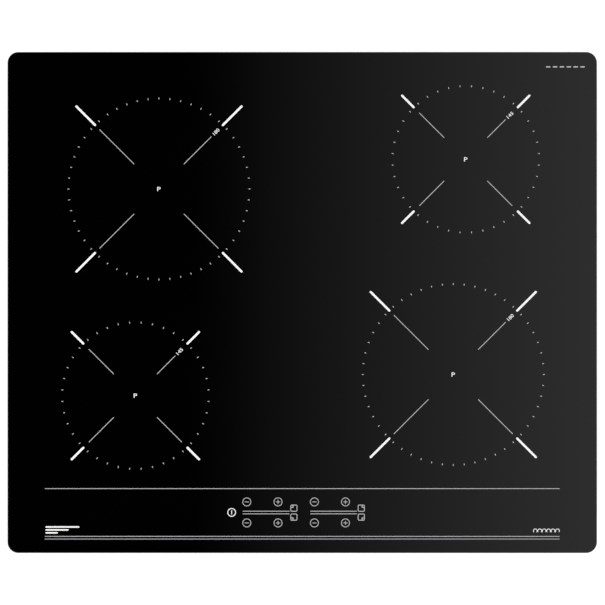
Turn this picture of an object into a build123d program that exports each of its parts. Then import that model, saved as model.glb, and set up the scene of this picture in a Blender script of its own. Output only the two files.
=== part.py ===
from build123d import *
import os
from math import cos, pi, sin

# A built-in induction hob with four cooking zones: a black glass-ceramic plate bonded to a folded
# frame, with a pressed steel tray screwed to it. In the tray are four spring-mounted coils on an
# aluminium deck, and under the deck two power boards with their heat sinks in an air duct, the
# blower that feeds it, the mains terminal box and the touch control under the front edge of the
# glass. Four swing clamps on vertical screws hold the hob down in the worktop.
#
# Millimetres. X runs to the user's right, Y to the back, Z up. The origin lies in the plane that
# the tray stands on, under the centre of the glass.

os.makedirs("parts", exist_ok=True)


def write(piece, name):
    """Labels a finished sub-part and writes it as one STEP file."""
    piece.part.label = name
    export_step(piece.part, f"parts/{name}.step")


# ---------------------------------------------------------------- driving dimensions
overall_height = 55.0
glass_width, glass_depth, glass_thickness, glass_corner = 600.0, 510.0, 4.0, 11.0
glass_under = overall_height - glass_thickness

tray_width, tray_depth, tray_corner = 552.0, 482.0, 12.0
sheet = 0.8  # tray steel
floor_under = 1.5  # the tray floor's outer face, above its pressed feet
floor_top = floor_under + sheet
tray_top = 48.3
bend_radius = 2.0

# Cooking zones: centre x, centre y and the nominal pan diameter.
zones = {
    "rear_left": (-145.8, 115.5, 180),
    "rear_right": (166.4, 145.7, 145),
    "front_left": (-169.8, -94.8, 145),
    "front_right": (153.7, -73.3, 180),
}

# Touch keys and displays: two blocks of keys, each with two rows, and the power key on the left.
key_rows = (-202.9, -224.3)
minus_columns, plus_columns = (-56.4, 12.4), (-24.6, 44.0)
power_key = (-71.8, -213.6)
display_columns = [(minus + plus) / 2 for minus, plus in zip(minus_columns, plus_columns)]

deck_z, deck_thickness = 31.0, 1.0
deck_top = deck_z + deck_thickness

blower_x, blower_y = 0.0, 150.0

# ---------------------------------------------------------------- glass plate
# 4 mm glass-ceramic with ground and polished edges.
edge_grind = 0.7
with BuildPart() as glass_top:
    with BuildSketch(Plane.XY.offset(glass_under)):
        RectangleRounded(glass_width, glass_depth, glass_corner)
    extrude(amount=glass_thickness)
    rims = glass_top.edges().group_by(Axis.Z)
    fillet(rims[-1] + rims[0], radius=edge_grind)
write(glass_top, "glass_top")

# ---------------------------------------------------------------- worktop gasket
# A self-adhesive foam strip under the rim of the glass. Its ends butt together at the back.
gasket_inset, gasket_strip, gasket_height = 3.0, 8.0, 3.0
gasket_under = glass_under - gasket_height
gasket_width = glass_width - 2 * gasket_inset
gasket_depth = glass_depth - 2 * gasket_inset
butt_gap = 0.4
with BuildPart() as worktop_gasket:
    with BuildSketch(Plane.XY.offset(gasket_under)):
        RectangleRounded(gasket_width, gasket_depth, glass_corner - gasket_inset)
        Rectangle(gasket_width - 2 * gasket_strip, gasket_depth - 2 * gasket_strip, mode=Mode.SUBTRACT)
        with Locations((0, gasket_depth / 2)):
            Rectangle(butt_gap, 3 * gasket_strip, mode=Mode.SUBTRACT)
    extrude(amount=gasket_height)
write(worktop_gasket, "worktop_gasket")

# ---------------------------------------------------------------- case screw places
frame_screw_z = 43.0
side_screw_y = (-200.0, 0.0, 200.0)
end_screw_x = (-220.0, -100.0, 100.0, 220.0)
deck_leg_y = (-95.0, 0.0, 95.0)
deck_screw_x = 246.0
screw_clearance, tapped_hole = 1.9, 1.8  # radii of the case screws' holes

# ---------------------------------------------------------------- support frame and its silicone bead
# An angle section folded into a ring: its flange is bonded to the glass, and its leg stands inside
# the tray wall.
bead_height, bead_width = 1.4, 8.0
frame_sheet, frame_flange, frame_leg = 1.2, 10.0, 10.3
frame_top = glass_under - bead_height
leg_outset = sheet + 0.1
leg_width, leg_depth = tray_width - 2 * leg_outset, tray_depth - 2 * leg_outset
with BuildPart() as support_frame:
    with BuildSketch(Plane.XY.offset(frame_top - frame_sheet)):
        RectangleRounded(tray_width, tray_depth, tray_corner)
        RectangleRounded(
            tray_width - 2 * frame_flange, tray_depth - 2 * frame_flange, 3, mode=Mode.SUBTRACT
        )
    extrude(amount=frame_sheet)
    with BuildSketch(Plane.XY.offset(frame_top - frame_sheet)):
        RectangleRounded(leg_width, leg_depth, tray_corner - leg_outset)
        RectangleRounded(
            leg_width - 2 * frame_sheet,
            leg_depth - 2 * frame_sheet,
            tray_corner - leg_outset - frame_sheet,
            mode=Mode.SUBTRACT,
        )
    extrude(amount=-frame_leg)
    with BuildSketch(Plane.XZ.offset(tray_depth / 2)):
        with Locations(*[(x, frame_screw_z) for x in end_screw_x]):
            Circle(tapped_hole)
    extrude(amount=-tray_depth, mode=Mode.SUBTRACT)
    with BuildSketch(Plane.YZ.offset(tray_width / 2)):
        with Locations(*[(y, frame_screw_z) for y in side_screw_y]):
            Circle(tapped_hole)
    extrude(amount=-tray_width, mode=Mode.SUBTRACT)
write(support_frame, "support_frame")

bead_outset = 1.5
with BuildPart() as bond_bead:
    with BuildSketch(Plane.XY.offset(frame_top)):
        RectangleRounded(
            tray_width - 2 * bead_outset,
            tray_depth - 2 * bead_outset,
            tray_corner - bead_outset,
        )
        RectangleRounded(
            tray_width - 2 * (bead_outset + bead_width),
            tray_depth - 2 * (bead_outset + bead_width),
            3,
            mode=Mode.SUBTRACT,
        )
    extrude(amount=bead_height)
write(bond_bead, "bond_bead")

# ---------------------------------------------------------------- clamp places
# Each clamp stands in a niche in a side wall of the tray. The screw is near the niche's inner end,
# and the parked arm points along the wall to its outer end.
niche_y, niche_length, niche_depth, niche_roof = 150.0, 54.0, 17.0, 30.0
screw_x = tray_width / 2 - 8.5
screw_y = niche_y - 18.0
corners = {
    "rear_left": (-1, 1),
    "rear_right": (1, 1),
    "front_left": (-1, -1),
    "front_right": (1, -1),
}
niche_places = [(side * tray_width / 2, end * niche_y) for side, end in corners.values()]
screw_places = [(side * screw_x, end * screw_y) for side, end in corners.values()]

# ---------------------------------------------------------------- base tray
# Pressed from one sheet: a flat floor with feet pressed out and ribs pressed in, walls with air
# slots, the four clamp niches, the blower's inlet grille and the opening of the terminal box.
terminal_x, terminal_y = 170.0, 202.5
terminal_width, terminal_depth, terminal_wall = 110.0, 72.0, 2.0
opening_width = terminal_width - 2 * terminal_wall
opening_depth = terminal_depth - 2 * terminal_wall
cable_x, cable_z, cable_bore, spout_wall = 195.0, 13.0, 6.8, 2.2

foot_places = [(-190, 205), (-190, -205), (190, -205), (170, 148)]
rib_places = [(-150, -40), (-60, -40), (60, -40), (150, -40)]
grille_rings = ((9.0, 3), (17.0, 4), (25.0, 6), (33.0, 8))  # radius and number of slots
grille_slot, grille_bridge = 5.0, 5.5


def tray_block(inset, top):
    """The tray as a solid block, with every face moved inwards by inset."""
    with BuildPart() as block:
        with BuildSketch(Plane.XY.offset(floor_under + inset)):
            RectangleRounded(tray_width - 2 * inset, tray_depth - 2 * inset, tray_corner - inset)
        extrude(amount=top - floor_under - inset)
        fillet(block.edges().group_by(Axis.Z)[0], radius=bend_radius - inset)
        with BuildSketch(Plane.XY):
            with Locations(*niche_places):
                Rectangle(2 * (niche_depth + inset), niche_length + 2 * inset)
        extrude(amount=niche_roof + inset, mode=Mode.SUBTRACT)
    return block.part


with BuildPart() as base_tray:
    add(tray_block(0, tray_top))
    with BuildSketch(Plane.XY.offset(floor_top)):
        with Locations(*foot_places):
            SlotOverall(90, 18)
    extrude(amount=-floor_top, taper=35)
    add(tray_block(sheet, tray_top + 1), mode=Mode.SUBTRACT)
    with BuildSketch(Plane.XY.offset(floor_top)):
        with Locations(*foot_places):
            SlotOverall(88.6, 16.6)
    extrude(amount=-floor_under, taper=35, mode=Mode.SUBTRACT)
    # ribs pressed upwards
    with BuildSketch(Plane.XY.offset(floor_top)):
        with Locations(*rib_places):
            SlotOverall(190, 12, rotation=90)
    extrude(amount=1.5, taper=30)
    with BuildSketch(Plane.XY.offset(floor_under)):
        with Locations(*rib_places):
            SlotOverall(188.6, 10.6, rotation=90)
    extrude(amount=1.5, taper=30, mode=Mode.SUBTRACT)
    # the blower's inlet grille: rings of curved slots
    with BuildSketch(Plane.XY.offset(floor_under - 1)):
        with Locations((blower_x, blower_y)):
            Circle(3)
        for ring_radius, slots in grille_rings:
            bridge_angle = (grille_bridge + grille_slot) / ring_radius * 180 / pi
            slot_angle = 360 / slots - bridge_angle
            for slot in range(slots):
                start = 360 / slots * slot + bridge_angle / 2
                slot_arc = CenterArc((blower_x, blower_y), ring_radius, start, slot_angle, mode=Mode.PRIVATE)
                SlotArc(slot_arc, grille_slot)
    extrude(amount=3, mode=Mode.SUBTRACT)
    # the terminal box's opening, and the outlet slots under the front edge
    with BuildSketch(Plane.XY):
        with Locations((terminal_x, terminal_y)):
            RectangleRounded(opening_width, opening_depth, 2)
        with Locations((0, -212)):
            with GridLocations(10, 1, 24, 1):
                SlotOverall(26, 4, rotation=90)
    extrude(amount=floor_top + 0.5, mode=Mode.SUBTRACT)
    # air slots in the front wall, the side walls and the back wall
    with BuildSketch(Plane.XZ.offset(tray_depth / 2)):
        with Locations((0, 20)):
            with GridLocations(9, 1, 31, 1):
                SlotOverall(24, 4, rotation=90)
    extrude(amount=-3, mode=Mode.SUBTRACT)
    with BuildSketch(Plane.YZ.offset(tray_width / 2)):
        with Locations((-60, 20), (60, 20)):
            with GridLocations(9, 1, 8, 1):
                SlotOverall(24, 4, rotation=90)
    extrude(amount=-tray_width, mode=Mode.SUBTRACT)
    with BuildSketch(Plane.XZ.offset(-tray_depth / 2)):
        with Locations((-150, 20)):
            with GridLocations(9, 1, 16, 1):
                SlotOverall(24, 4, rotation=90)
        with Locations((cable_x, cable_z)):
            Circle(cable_bore + spout_wall + 0.4)
    extrude(amount=3, mode=Mode.SUBTRACT)
    # screw holes: frame screws in the walls, deck screws in the floor, rivet nuts in the niche roofs
    with BuildSketch(Plane.XZ.offset(tray_depth / 2)):
        with Locations(*[(x, frame_screw_z) for x in end_screw_x]):
            Circle(screw_clearance)
    extrude(amount=-tray_depth, mode=Mode.SUBTRACT)
    with BuildSketch(Plane.YZ.offset(tray_width / 2)):
        with Locations(*[(y, frame_screw_z) for y in side_screw_y]):
            Circle(screw_clearance)
    extrude(amount=-tray_width, mode=Mode.SUBTRACT)
    with BuildSketch(Plane.XY):
        with Locations(*[(side * deck_screw_x, y) for side in (-1, 1) for y in deck_leg_y]):
            Circle(screw_clearance)
    extrude(amount=floor_top + 0.5, mode=Mode.SUBTRACT)
    with BuildSketch(Plane.XY.offset(niche_roof - 0.5)):
        with Locations(*screw_places):
            Circle(3.8)
    extrude(amount=sheet + 1, mode=Mode.SUBTRACT)
write(base_tray, "base_tray")


# ---------------------------------------------------------------- case screws
def pan_screw(head_radius, head_height, shank_radius, length):
    """A cross-recess pan-head screw whose head stands on the XY plane, with its shank going down."""
    with BuildPart() as screw:
        with BuildSketch():
            Circle(head_radius)
        extrude(amount=head_height)
        fillet(screw.edges().group_by(Axis.Z)[-1], radius=head_height * 0.45)
        with BuildSketch():
            Circle(shank_radius)
        extrude(amount=-length)
        with BuildSketch(Plane.XY.offset(head_height)):
            Rectangle(head_radius * 1.1, head_radius * 0.26)
            Rectangle(head_radius * 0.26, head_radius * 1.1)
        extrude(amount=-head_height * 0.6, mode=Mode.SUBTRACT)
    return screw.part


case_screw = pan_screw(3.6, 1.4, 1.75, 6)
case_screw_places = [
    Plane((x, end * tray_depth / 2, frame_screw_z), x_dir=(-end, 0, 0), z_dir=(0, end, 0))
    for end in (-1, 1)
    for x in end_screw_x
]
case_screw_places += [
    Plane((side * tray_width / 2, y, frame_screw_z), x_dir=(0, side, 0), z_dir=(side, 0, 0))
    for side in (-1, 1)
    for y in side_screw_y
]
case_screw_places += [
    Plane((side * deck_screw_x, y, floor_under), x_dir=(1, 0, 0), z_dir=(0, 0, -1))
    for side in (-1, 1)
    for y in deck_leg_y
]
with BuildPart() as case_screws:
    with Locations(*case_screw_places):
        add(case_screw)
write(case_screws, "case_screws")

# ---------------------------------------------------------------- swing clamps
clamp_thread, clamp_head, clamp_head_z, clamp_head_height = 2.5, 4.8, 1.0, 2.8
clamp_screw_top = 35.5
washer_radius, washer_height = 6.0, 0.8
arm_z = clamp_head_z + clamp_head_height + washer_height + 0.1
arm_width, arm_length, arm_sheet, arm_lip = 14.0, 32.0, 2.5, 1.0

with BuildPart() as rivet_nuts:
    with BuildSketch(Plane.XY.offset(niche_roof)):
        with Locations(*screw_places):
            Circle(5.5)
    extrude(amount=-0.8)
    with BuildSketch(Plane.XY.offset(niche_roof)):
        with Locations(*screw_places):
            Circle(3.7)
    extrude(amount=8)
    with BuildSketch(Plane.XY.offset(niche_roof - 1)):
        with Locations(*screw_places):
            Circle(clamp_thread + 0.08)
    extrude(amount=10, mode=Mode.SUBTRACT)
write(rivet_nuts, "rivet_nuts")


def clamp_screw(x, y):
    """A pan-head screw with its washer: the head is below, and the arm rests on the washer."""
    shank_foot = clamp_head_z + clamp_head_height
    with BuildPart() as screw:
        with Locations(Plane((x, y, shank_foot), x_dir=(1, 0, 0), z_dir=(0, 0, -1))):
            add(pan_screw(clamp_head, clamp_head_height, clamp_thread, clamp_screw_top - shank_foot))
        with BuildSketch(Plane((x, y, shank_foot))):
            Circle(washer_radius)
        extrude(amount=washer_height)
        chamfer(screw.edges().filter_by(GeomType.CIRCLE).group_by(Axis.Z)[-1], length=0.5)
    return screw


def clamp_arm(x, y, end):
    """A stamped arm that turns about the screw, parked along the wall, with a lip that bites the worktop."""
    with BuildPart() as arm:
        with BuildSketch(Plane((x, y, arm_z))):
            Circle(arm_width / 2)
            with Locations((0, end * arm_length / 2)):
                Rectangle(arm_width, arm_length)
            Circle(clamp_thread + 0.25, mode=Mode.SUBTRACT)
        extrude(amount=arm_sheet)
        fillet(arm.edges().filter_by(Axis.Z).sort_by(Axis.Y, reverse=end > 0)[:2], radius=2.5)
        with BuildSketch(Plane((x, y + end * (arm_length - 3), arm_z + arm_sheet))):
            with GridLocations(1, 3, 1, 2):
                Rectangle(arm_width - 4, 1.2)
        extrude(amount=arm_lip, taper=15)
    return arm


for corner, (side, end) in corners.items():
    write(clamp_screw(side * screw_x, end * screw_y), f"clamp_screw_{corner}")
    write(clamp_arm(side * screw_x, end * screw_y, end), f"clamp_arm_{corner}")

# ---------------------------------------------------------------- terminal box
# A moulded box that opens downwards through the tray floor, closed by a lid that swings on two pins.
box_foot, box_top = floor_top + 0.1, 27.0
spout_length = 4.5
hinge_y, hinge_z = terminal_y - opening_depth / 2 + 5.0, 4.6
hinge_pin, hinge_barrel, ear_width = 1.1, 1.7, 2.5
clamp_post_pitch, clamp_post, clamp_y = 26.0, 4.0, 220.0
bar_z, bar_thickness, bar_width = 5.4, 2.0, 9.0
back_wall = terminal_y + terminal_depth / 2
block_x, block_y, block_poles, block_pitch = 150.0, 204.0, 5, 11.0
block_z, block_depth = 12.0, 18.0
block_length = block_poles * block_pitch + 5
ceiling = box_top - terminal_wall
wire_hole, left_wires_y = 6.0, 184.0

with BuildPart() as terminal_housing:
    with BuildSketch(Plane.XY.offset(box_foot)):
        with Locations((terminal_x, terminal_y)):
            RectangleRounded(terminal_width, terminal_depth, 3)
    extrude(amount=box_top - box_foot)
    with BuildSketch(Plane.XY.offset(box_foot)):
        with Locations((terminal_x, terminal_y)):
            RectangleRounded(opening_width, opening_depth, 1.5)
    extrude(amount=ceiling - box_foot, mode=Mode.SUBTRACT)
    # the posts that take the cable clamp's screws
    with BuildSketch(Plane.XY.offset(bar_z + bar_thickness)):
        with Locations((cable_x, clamp_y)):
            with GridLocations(clamp_post_pitch, 1, 2, 1):
                Circle(clamp_post)
                Circle(1.5, mode=Mode.SUBTRACT)
    extrude(amount=ceiling - bar_z - bar_thickness)
    # the ears that hold the lid's pins
    with BuildSketch(Plane.YZ.offset(terminal_x)):
        with Locations((hinge_y, hinge_z + 1)):
            Rectangle(7, 4.2 + 2 * hinge_pin)
    extrude(amount=opening_width / 2, both=True)
    with BuildSketch(Plane.YZ.offset(terminal_x)):
        with Locations((hinge_y, hinge_z)):
            Rectangle(12, 20)
    extrude(amount=opening_width / 2 - ear_width, both=True, mode=Mode.SUBTRACT)
    with BuildSketch(Plane.YZ.offset(terminal_x)):
        with Locations((hinge_y, hinge_z)):
            Circle(hinge_pin + 0.15)
    extrude(amount=opening_width / 2, both=True, mode=Mode.SUBTRACT)
    # the cable spout through the tray's back wall
    with BuildSketch(Plane.XZ.offset(-back_wall)):
        with Locations((cable_x, cable_z)):
            Circle(cable_bore + spout_wall)
    extrude(amount=-spout_length)
    with BuildSketch(Plane.XZ.offset(-(back_wall + 2 * spout_length))):
        with Locations((cable_x, cable_z)):
            Circle(cable_bore)
    extrude(amount=2 * spout_length + 2 * terminal_wall, mode=Mode.SUBTRACT)
    # the holes for the inner wiring in the front wall and the left wall
    with BuildSketch(Plane.XZ.offset(-(terminal_y - terminal_depth / 2))):
        with Locations((block_x, 18)):
            SlotOverall(42, wire_hole)
    extrude(amount=2 * terminal_wall, both=True, mode=Mode.SUBTRACT)
    with BuildSketch(Plane.YZ.offset(terminal_x - terminal_width / 2)):
        with Locations((left_wires_y, 18)):
            SlotOverall(12, wire_hole)
    extrude(amount=2 * terminal_wall, both=True, mode=Mode.SUBTRACT)
write(terminal_housing, "terminal_housing")

lid_gap, lid_thickness, lid_z = 0.7, 2.0, 0.9
front_inside = terminal_y - opening_depth / 2
with BuildPart() as terminal_lid:
    with BuildSketch(Plane.XY.offset(lid_z)):
        with Locations((terminal_x, terminal_y)):
            RectangleRounded(opening_width - 2 * lid_gap, opening_depth - 2 * lid_gap, 2)
            with Locations((0, -opening_depth / 2)):
                Rectangle(opening_width, 2 * (hinge_y - hinge_barrel) - 2 * front_inside, mode=Mode.SUBTRACT)
            with Locations((0, hinge_y - terminal_y)):
                with GridLocations(opening_width, 1, 2, 1):
                    Rectangle(2 * ear_width + 1, 8.5, mode=Mode.SUBTRACT)
    extrude(amount=lid_thickness)
    fillet(terminal_lid.edges().group_by(Axis.Z)[0], radius=0.6)
    # the barrel and its pins, joined to the plate by a web
    with BuildSketch(Plane.YZ.offset(terminal_x)):
        with Locations((hinge_y, hinge_z)):
            Circle(hinge_barrel)
        with Locations((hinge_y, (hinge_z + lid_z) / 2)):
            Rectangle(2 * hinge_barrel, hinge_z - lid_z)
    extrude(amount=opening_width / 2 - ear_width - 0.5, both=True)
    with BuildSketch(Plane.YZ.offset(terminal_x)):
        with Locations((hinge_y, hinge_z)):
            Circle(hinge_pin)
    extrude(amount=opening_width / 2 - 0.3, both=True)
    # the snap tongue at the back, and a slot for the screwdriver that releases it
    with BuildSketch(Plane.XY.offset(lid_z + lid_thickness)):
        with Locations((140, terminal_y + opening_depth / 2 - 3)):
            Rectangle(14, 1.6)
    extrude(amount=6)
    with BuildSketch(Plane.XY.offset(lid_z)):
        with Locations((140, terminal_y + opening_depth / 2 - 8)):
            SlotOverall(10, 3)
    extrude(amount=0.8, mode=Mode.SUBTRACT)
write(terminal_lid, "terminal_lid")

first_pole = block_x - (block_poles - 1) / 2 * block_pitch
pole_places = [(first_pole + pole * block_pitch, block_y) for pole in range(block_poles)]
with BuildPart() as terminal_block:
    with BuildSketch(Plane.XY.offset(block_z)):
        with Locations((block_x, block_y)):
            Rectangle(block_length, block_depth)
    extrude(amount=ceiling - block_z)
    # screw wells from below, and wire ways from front to back
    with BuildSketch(Plane.XY.offset(block_z)):
        with Locations(*pole_places):
            Circle(3.2)
    extrude(amount=7, mode=Mode.SUBTRACT)
    with BuildSketch(Plane.XZ.offset(-block_y)):
        with Locations(*[(x, 18) for x, _ in pole_places]):
            Rectangle(6.4, 4)
    extrude(amount=block_depth, both=True, mode=Mode.SUBTRACT)
    # dividers between the poles
    with BuildSketch(Plane.XY.offset(block_z)):
        with Locations((block_x, block_y)):
            with GridLocations(block_pitch, 1, block_poles + 1, 1):
                Rectangle(1.4, block_depth)
    extrude(amount=-2.5)
write(terminal_block, "terminal_block")

with BuildPart() as terminal_screws:
    with Locations(*[Plane((x, y, block_z + 2), x_dir=(1, 0, 0), z_dir=(0, 0, -1)) for x, y in pole_places]):
        add(pan_screw(3.0, 1.8, 1.9, 6))
    clamp_screw_places = [(cable_x + side * clamp_post_pitch / 2, clamp_y) for side in (-1, 1)]
    with Locations(*[Plane((x, y, bar_z), x_dir=(1, 0, 0), z_dir=(0, 0, -1)) for x, y in clamp_screw_places]):
        add(pan_screw(3.0, 1.8, 1.45, 10))
write(terminal_screws, "terminal_screws")

with BuildPart() as cable_clamp:
    with BuildSketch(Plane.XY.offset(bar_z)):
        with Locations((cable_x, clamp_y)):
            SlotOverall(clamp_post_pitch + 10, bar_width)
            with GridLocations(clamp_post_pitch, 1, 2, 1):
                Circle(1.6, mode=Mode.SUBTRACT)
    extrude(amount=bar_thickness)
    # two ribs that bite the cable's sheath
    with BuildSketch(Plane.XY.offset(bar_z + bar_thickness)):
        with Locations((cable_x, clamp_y)):
            with GridLocations(1, 5, 1, 2):
                Rectangle(14, 1.2)
    extrude(amount=0.8, taper=20)
write(cable_clamp, "cable_clamp")

# ---------------------------------------------------------------- coil deck
# Aluminium sheet that carries the coils and screens the boards. Six legs are bent down from its sides.
deck_width, deck_front, deck_back = 508.0, -178.0, 234.0
deck_depth, deck_centre = deck_back - deck_front, (deck_back + deck_front) / 2
leg_span, foot_lip = 32.0, 14.0
lead_places = {
    "rear_left": (-120, 70),
    "rear_right": (132, 78),
    "front_left": (-125, -75),
    "front_right": (118, -88),
}
with BuildPart() as coil_deck:
    with BuildSketch(Plane.XY.offset(deck_z)):
        with Locations((0, deck_centre)):
            RectangleRounded(deck_width, deck_depth, 6)
        with Locations(*[(x, y) for x, y, _ in zones.values()]):
            Circle(3, mode=Mode.SUBTRACT)
        with Locations(*lead_places.values()):
            SlotOverall(22, 7, mode=Mode.SUBTRACT)
    extrude(amount=deck_thickness)
    for side in (-1, 1):
        with BuildSketch(Plane.XY.offset(deck_z)):
            with Locations(*[(side * (deck_width - deck_thickness) / 2, y) for y in deck_leg_y]):
                Rectangle(deck_thickness, leg_span)
        extrude(amount=-(deck_z - floor_top))
        with BuildSketch(Plane.XY.offset(floor_top)):
            with Locations(*[(side * (deck_width - foot_lip) / 2, y) for y in deck_leg_y]):
                Rectangle(foot_lip, leg_span)
        extrude(amount=deck_thickness)
        with BuildSketch(Plane.XY.offset(floor_top)):
            with Locations(*[(side * deck_screw_x, y) for y in deck_leg_y]):
                Circle(tapped_hole)
        extrude(amount=deck_thickness, mode=Mode.SUBTRACT)
write(coil_deck, "coil_deck")

# ---------------------------------------------------------------- induction coils
# Each coil is a moulded spider with ferrite bars let into its underside, a flat winding and a mica
# disc. Three springs press it up against the glass, and a temperature sensor stands in its middle.
spokes, spoke_width = 8, 16.0
carrier_z, carrier_thickness = 42.6, 4.0
hub_radius, hub_hole, rim_width = 24.0, 12.0, 6.0
lug_radius, lug_angle, lug_count = 8.0, 22.5, 3
ferrite_width, ferrite_height, ferrite_inner = 11.0, 2.6, 25.0
winding_height, winding_inner = 3.6, 25.0
mica_thickness = 0.6
spring_radius, spring_wire = 4.6, 0.9


def carrier_radius(pan):
    """A coil's carrier is slightly smaller than the pan that it is made for."""
    return pan / 2 - 2.5


def coil_carrier(x, y, radius):
    """The spider, with pockets for the ferrite bars and three lugs that take the springs."""
    ferrite_length = radius - rim_width - ferrite_inner
    with BuildPart() as carrier:
        with BuildSketch(Plane((x, y, carrier_z))):
            Circle(radius)
            Circle(radius - rim_width, mode=Mode.SUBTRACT)
            Circle(hub_radius)
            with PolarLocations((radius + hub_radius) / 2 - 2, spokes):
                Rectangle(radius - hub_radius, spoke_width)
            with PolarLocations(radius - 2, lug_count, start_angle=lug_angle):
                Circle(lug_radius)
            Circle(hub_hole, mode=Mode.SUBTRACT)
        extrude(amount=carrier_thickness)
        with BuildSketch(Plane((x, y, carrier_z))):
            with PolarLocations(ferrite_inner + ferrite_length / 2, spokes):
                Rectangle(ferrite_length + 0.4, ferrite_width + 0.4)
        extrude(amount=ferrite_height + 0.2, mode=Mode.SUBTRACT)
        with BuildSketch(Plane((x, y, carrier_z))):
            with PolarLocations(radius - 2, lug_count, start_angle=lug_angle):
                Circle(spring_radius + 0.6)
        extrude(amount=1.0, mode=Mode.SUBTRACT)
    return carrier


def ferrite_bars(x, y, radius):
    """The bars that close the field below the winding, one in each spoke."""
    ferrite_length = radius - rim_width - ferrite_inner
    with BuildPart() as bars:
        with BuildSketch(Plane((x, y, carrier_z + 0.1))):
            with PolarLocations(ferrite_inner + ferrite_length / 2, spokes):
                Rectangle(ferrite_length, ferrite_width)
        extrude(amount=ferrite_height)
    return bars


def coil_winding(x, y, radius):
    """The flat spiral of stranded wire, as the ring that it fills."""
    with BuildPart() as winding:
        with BuildSketch(Plane((x, y, carrier_z + carrier_thickness))):
            Circle(radius - 3)
            Circle(winding_inner, mode=Mode.SUBTRACT)
        extrude(amount=winding_height)
        rims = winding.edges().group_by(Axis.Z)
        fillet(rims[-1] + rims[0], radius=1.2)
    return winding


def mica_disc(x, y, radius):
    """The sheet that keeps the winding off the hot glass."""
    with BuildPart() as disc:
        with BuildSketch(Plane((x, y, carrier_z + carrier_thickness + winding_height))):
            Circle(radius - 1)
            Circle(hub_hole, mode=Mode.SUBTRACT)
        extrude(amount=mica_thickness)
    return disc


def coil_springs(x, y, radius):
    """Three compression springs, each as the sleeve that its wire fills."""
    with BuildPart() as springs:
        with BuildSketch(Plane((x, y, deck_top))):
            with PolarLocations(radius - 2, lug_count, start_angle=lug_angle):
                Circle(spring_radius)
                Circle(spring_radius - spring_wire, mode=Mode.SUBTRACT)
        extrude(amount=carrier_z + 1.0 - deck_top)
    return springs


for zone, (x, y, pan) in zones.items():
    radius = carrier_radius(pan)
    write(coil_carrier(x, y, radius), f"coil_carrier_{zone}")
    write(ferrite_bars(x, y, radius), f"ferrite_bars_{zone}")
    write(coil_winding(x, y, radius), f"coil_winding_{zone}")
    write(mica_disc(x, y, radius), f"mica_disc_{zone}")
    write(coil_springs(x, y, radius), f"coil_springs_{zone}")

sensor_places = [(x, y) for x, y, _ in zones.values()]
with BuildPart() as temperature_sensors:
    with BuildSketch(Plane.XY.offset(deck_top)):
        with Locations(*sensor_places):
            Circle(8)
    extrude(amount=2)
    with BuildSketch(Plane.XY.offset(deck_top)):
        with Locations(*sensor_places):
            Circle(5.5)
    extrude(amount=16)
    with BuildSketch(Plane.XY.offset(deck_top)):
        with Locations(*sensor_places):
            Circle(4)
    extrude(amount=glass_under - deck_top - 0.1)
write(temperature_sensors, "temperature_sensors")

# ---------------------------------------------------------------- power boards
# One board serves the two left zones and one the two right ones. On each, the transistors lie under
# a finned heat sink that stands in the air duct, and the tall parts stand outside the duct.
board_width, board_depth, board_thickness = 192.0, 246.0, 1.6
board_x, board_y, board_z = 104.0, -37.0, 8.0
board_top = board_z + board_thickness
with BuildPart() as power_boards:
    with BuildSketch(Plane.XY.offset(board_z)):
        with GridLocations(2 * board_x, 1, 2, 1):
            with Locations((0, board_y)):
                RectangleRounded(board_width, board_depth, 3)
                with GridLocations(board_width - 12, board_depth - 12, 2, 2):
                    Circle(2, mode=Mode.SUBTRACT)
    extrude(amount=board_thickness)
write(power_boards, "power_boards")

with BuildPart() as board_standoffs:
    with BuildSketch(Plane.XY.offset(floor_top)):
        with GridLocations(2 * board_x, 1, 2, 1):
            with Locations((0, board_y)):
                with GridLocations(board_width - 12, board_depth - 12, 2, 2):
                    RegularPolygon(4, 6)
    extrude(amount=board_z - floor_top)
    with BuildSketch(Plane.XY.offset(board_z)):
        with GridLocations(2 * board_x, 1, 2, 1):
            with Locations((0, board_y)):
                with GridLocations(board_width - 12, board_depth - 12, 2, 2):
                    Circle(1.8)
    extrude(amount=board_thickness + 2)
write(board_standoffs, "board_standoffs")

sink_x, sink_y, sink_width, sink_length = 35.0, -45.0, 50.0, 190.0
transistor_height, sink_base, sink_height = 5.0, 4.0, 13.5
fin_count, fin_thickness = 9, 1.5
sink_z = board_top + transistor_height
with BuildPart() as power_transistors:
    with BuildSketch(Plane.XY.offset(board_top)):
        with Locations((0, sink_y)):
            with GridLocations(2 * sink_x, 36, 2, 5):
                Rectangle(16, 21)
    extrude(amount=transistor_height)
write(power_transistors, "power_transistors")

with BuildPart() as heatsinks:
    with BuildSketch(Plane.XZ.offset(-(sink_y + sink_length / 2))):
        with GridLocations(2 * sink_x, 1, 2, 1):
            with Locations((0, sink_z + sink_base / 2)):
                Rectangle(sink_width, sink_base)
            with Locations((0, sink_z + sink_height / 2)):
                with GridLocations((sink_width - fin_thickness) / (fin_count - 1), 1, fin_count, 1):
                    Rectangle(fin_thickness, sink_height)
    extrude(amount=sink_length)
write(heatsinks, "heatsinks")


def on_both_boards(places):
    """The same places on the right board, and mirrored on the left one."""
    return [(side * x, y) for side in (-1, 1) for x, y in places]


with BuildPart() as film_capacitors:
    with BuildSketch(Plane.XY.offset(board_top)):
        with Locations(*on_both_boards([(102, 38), (102, 16), (102, -6), (102, -28), (102, -50)])):
            RectangleRounded(32, 15, 1.5)
    extrude(amount=18)
    chamfer(film_capacitors.edges().group_by(Axis.Z)[-1], length=0.6)
write(film_capacitors, "film_capacitors")

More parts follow.
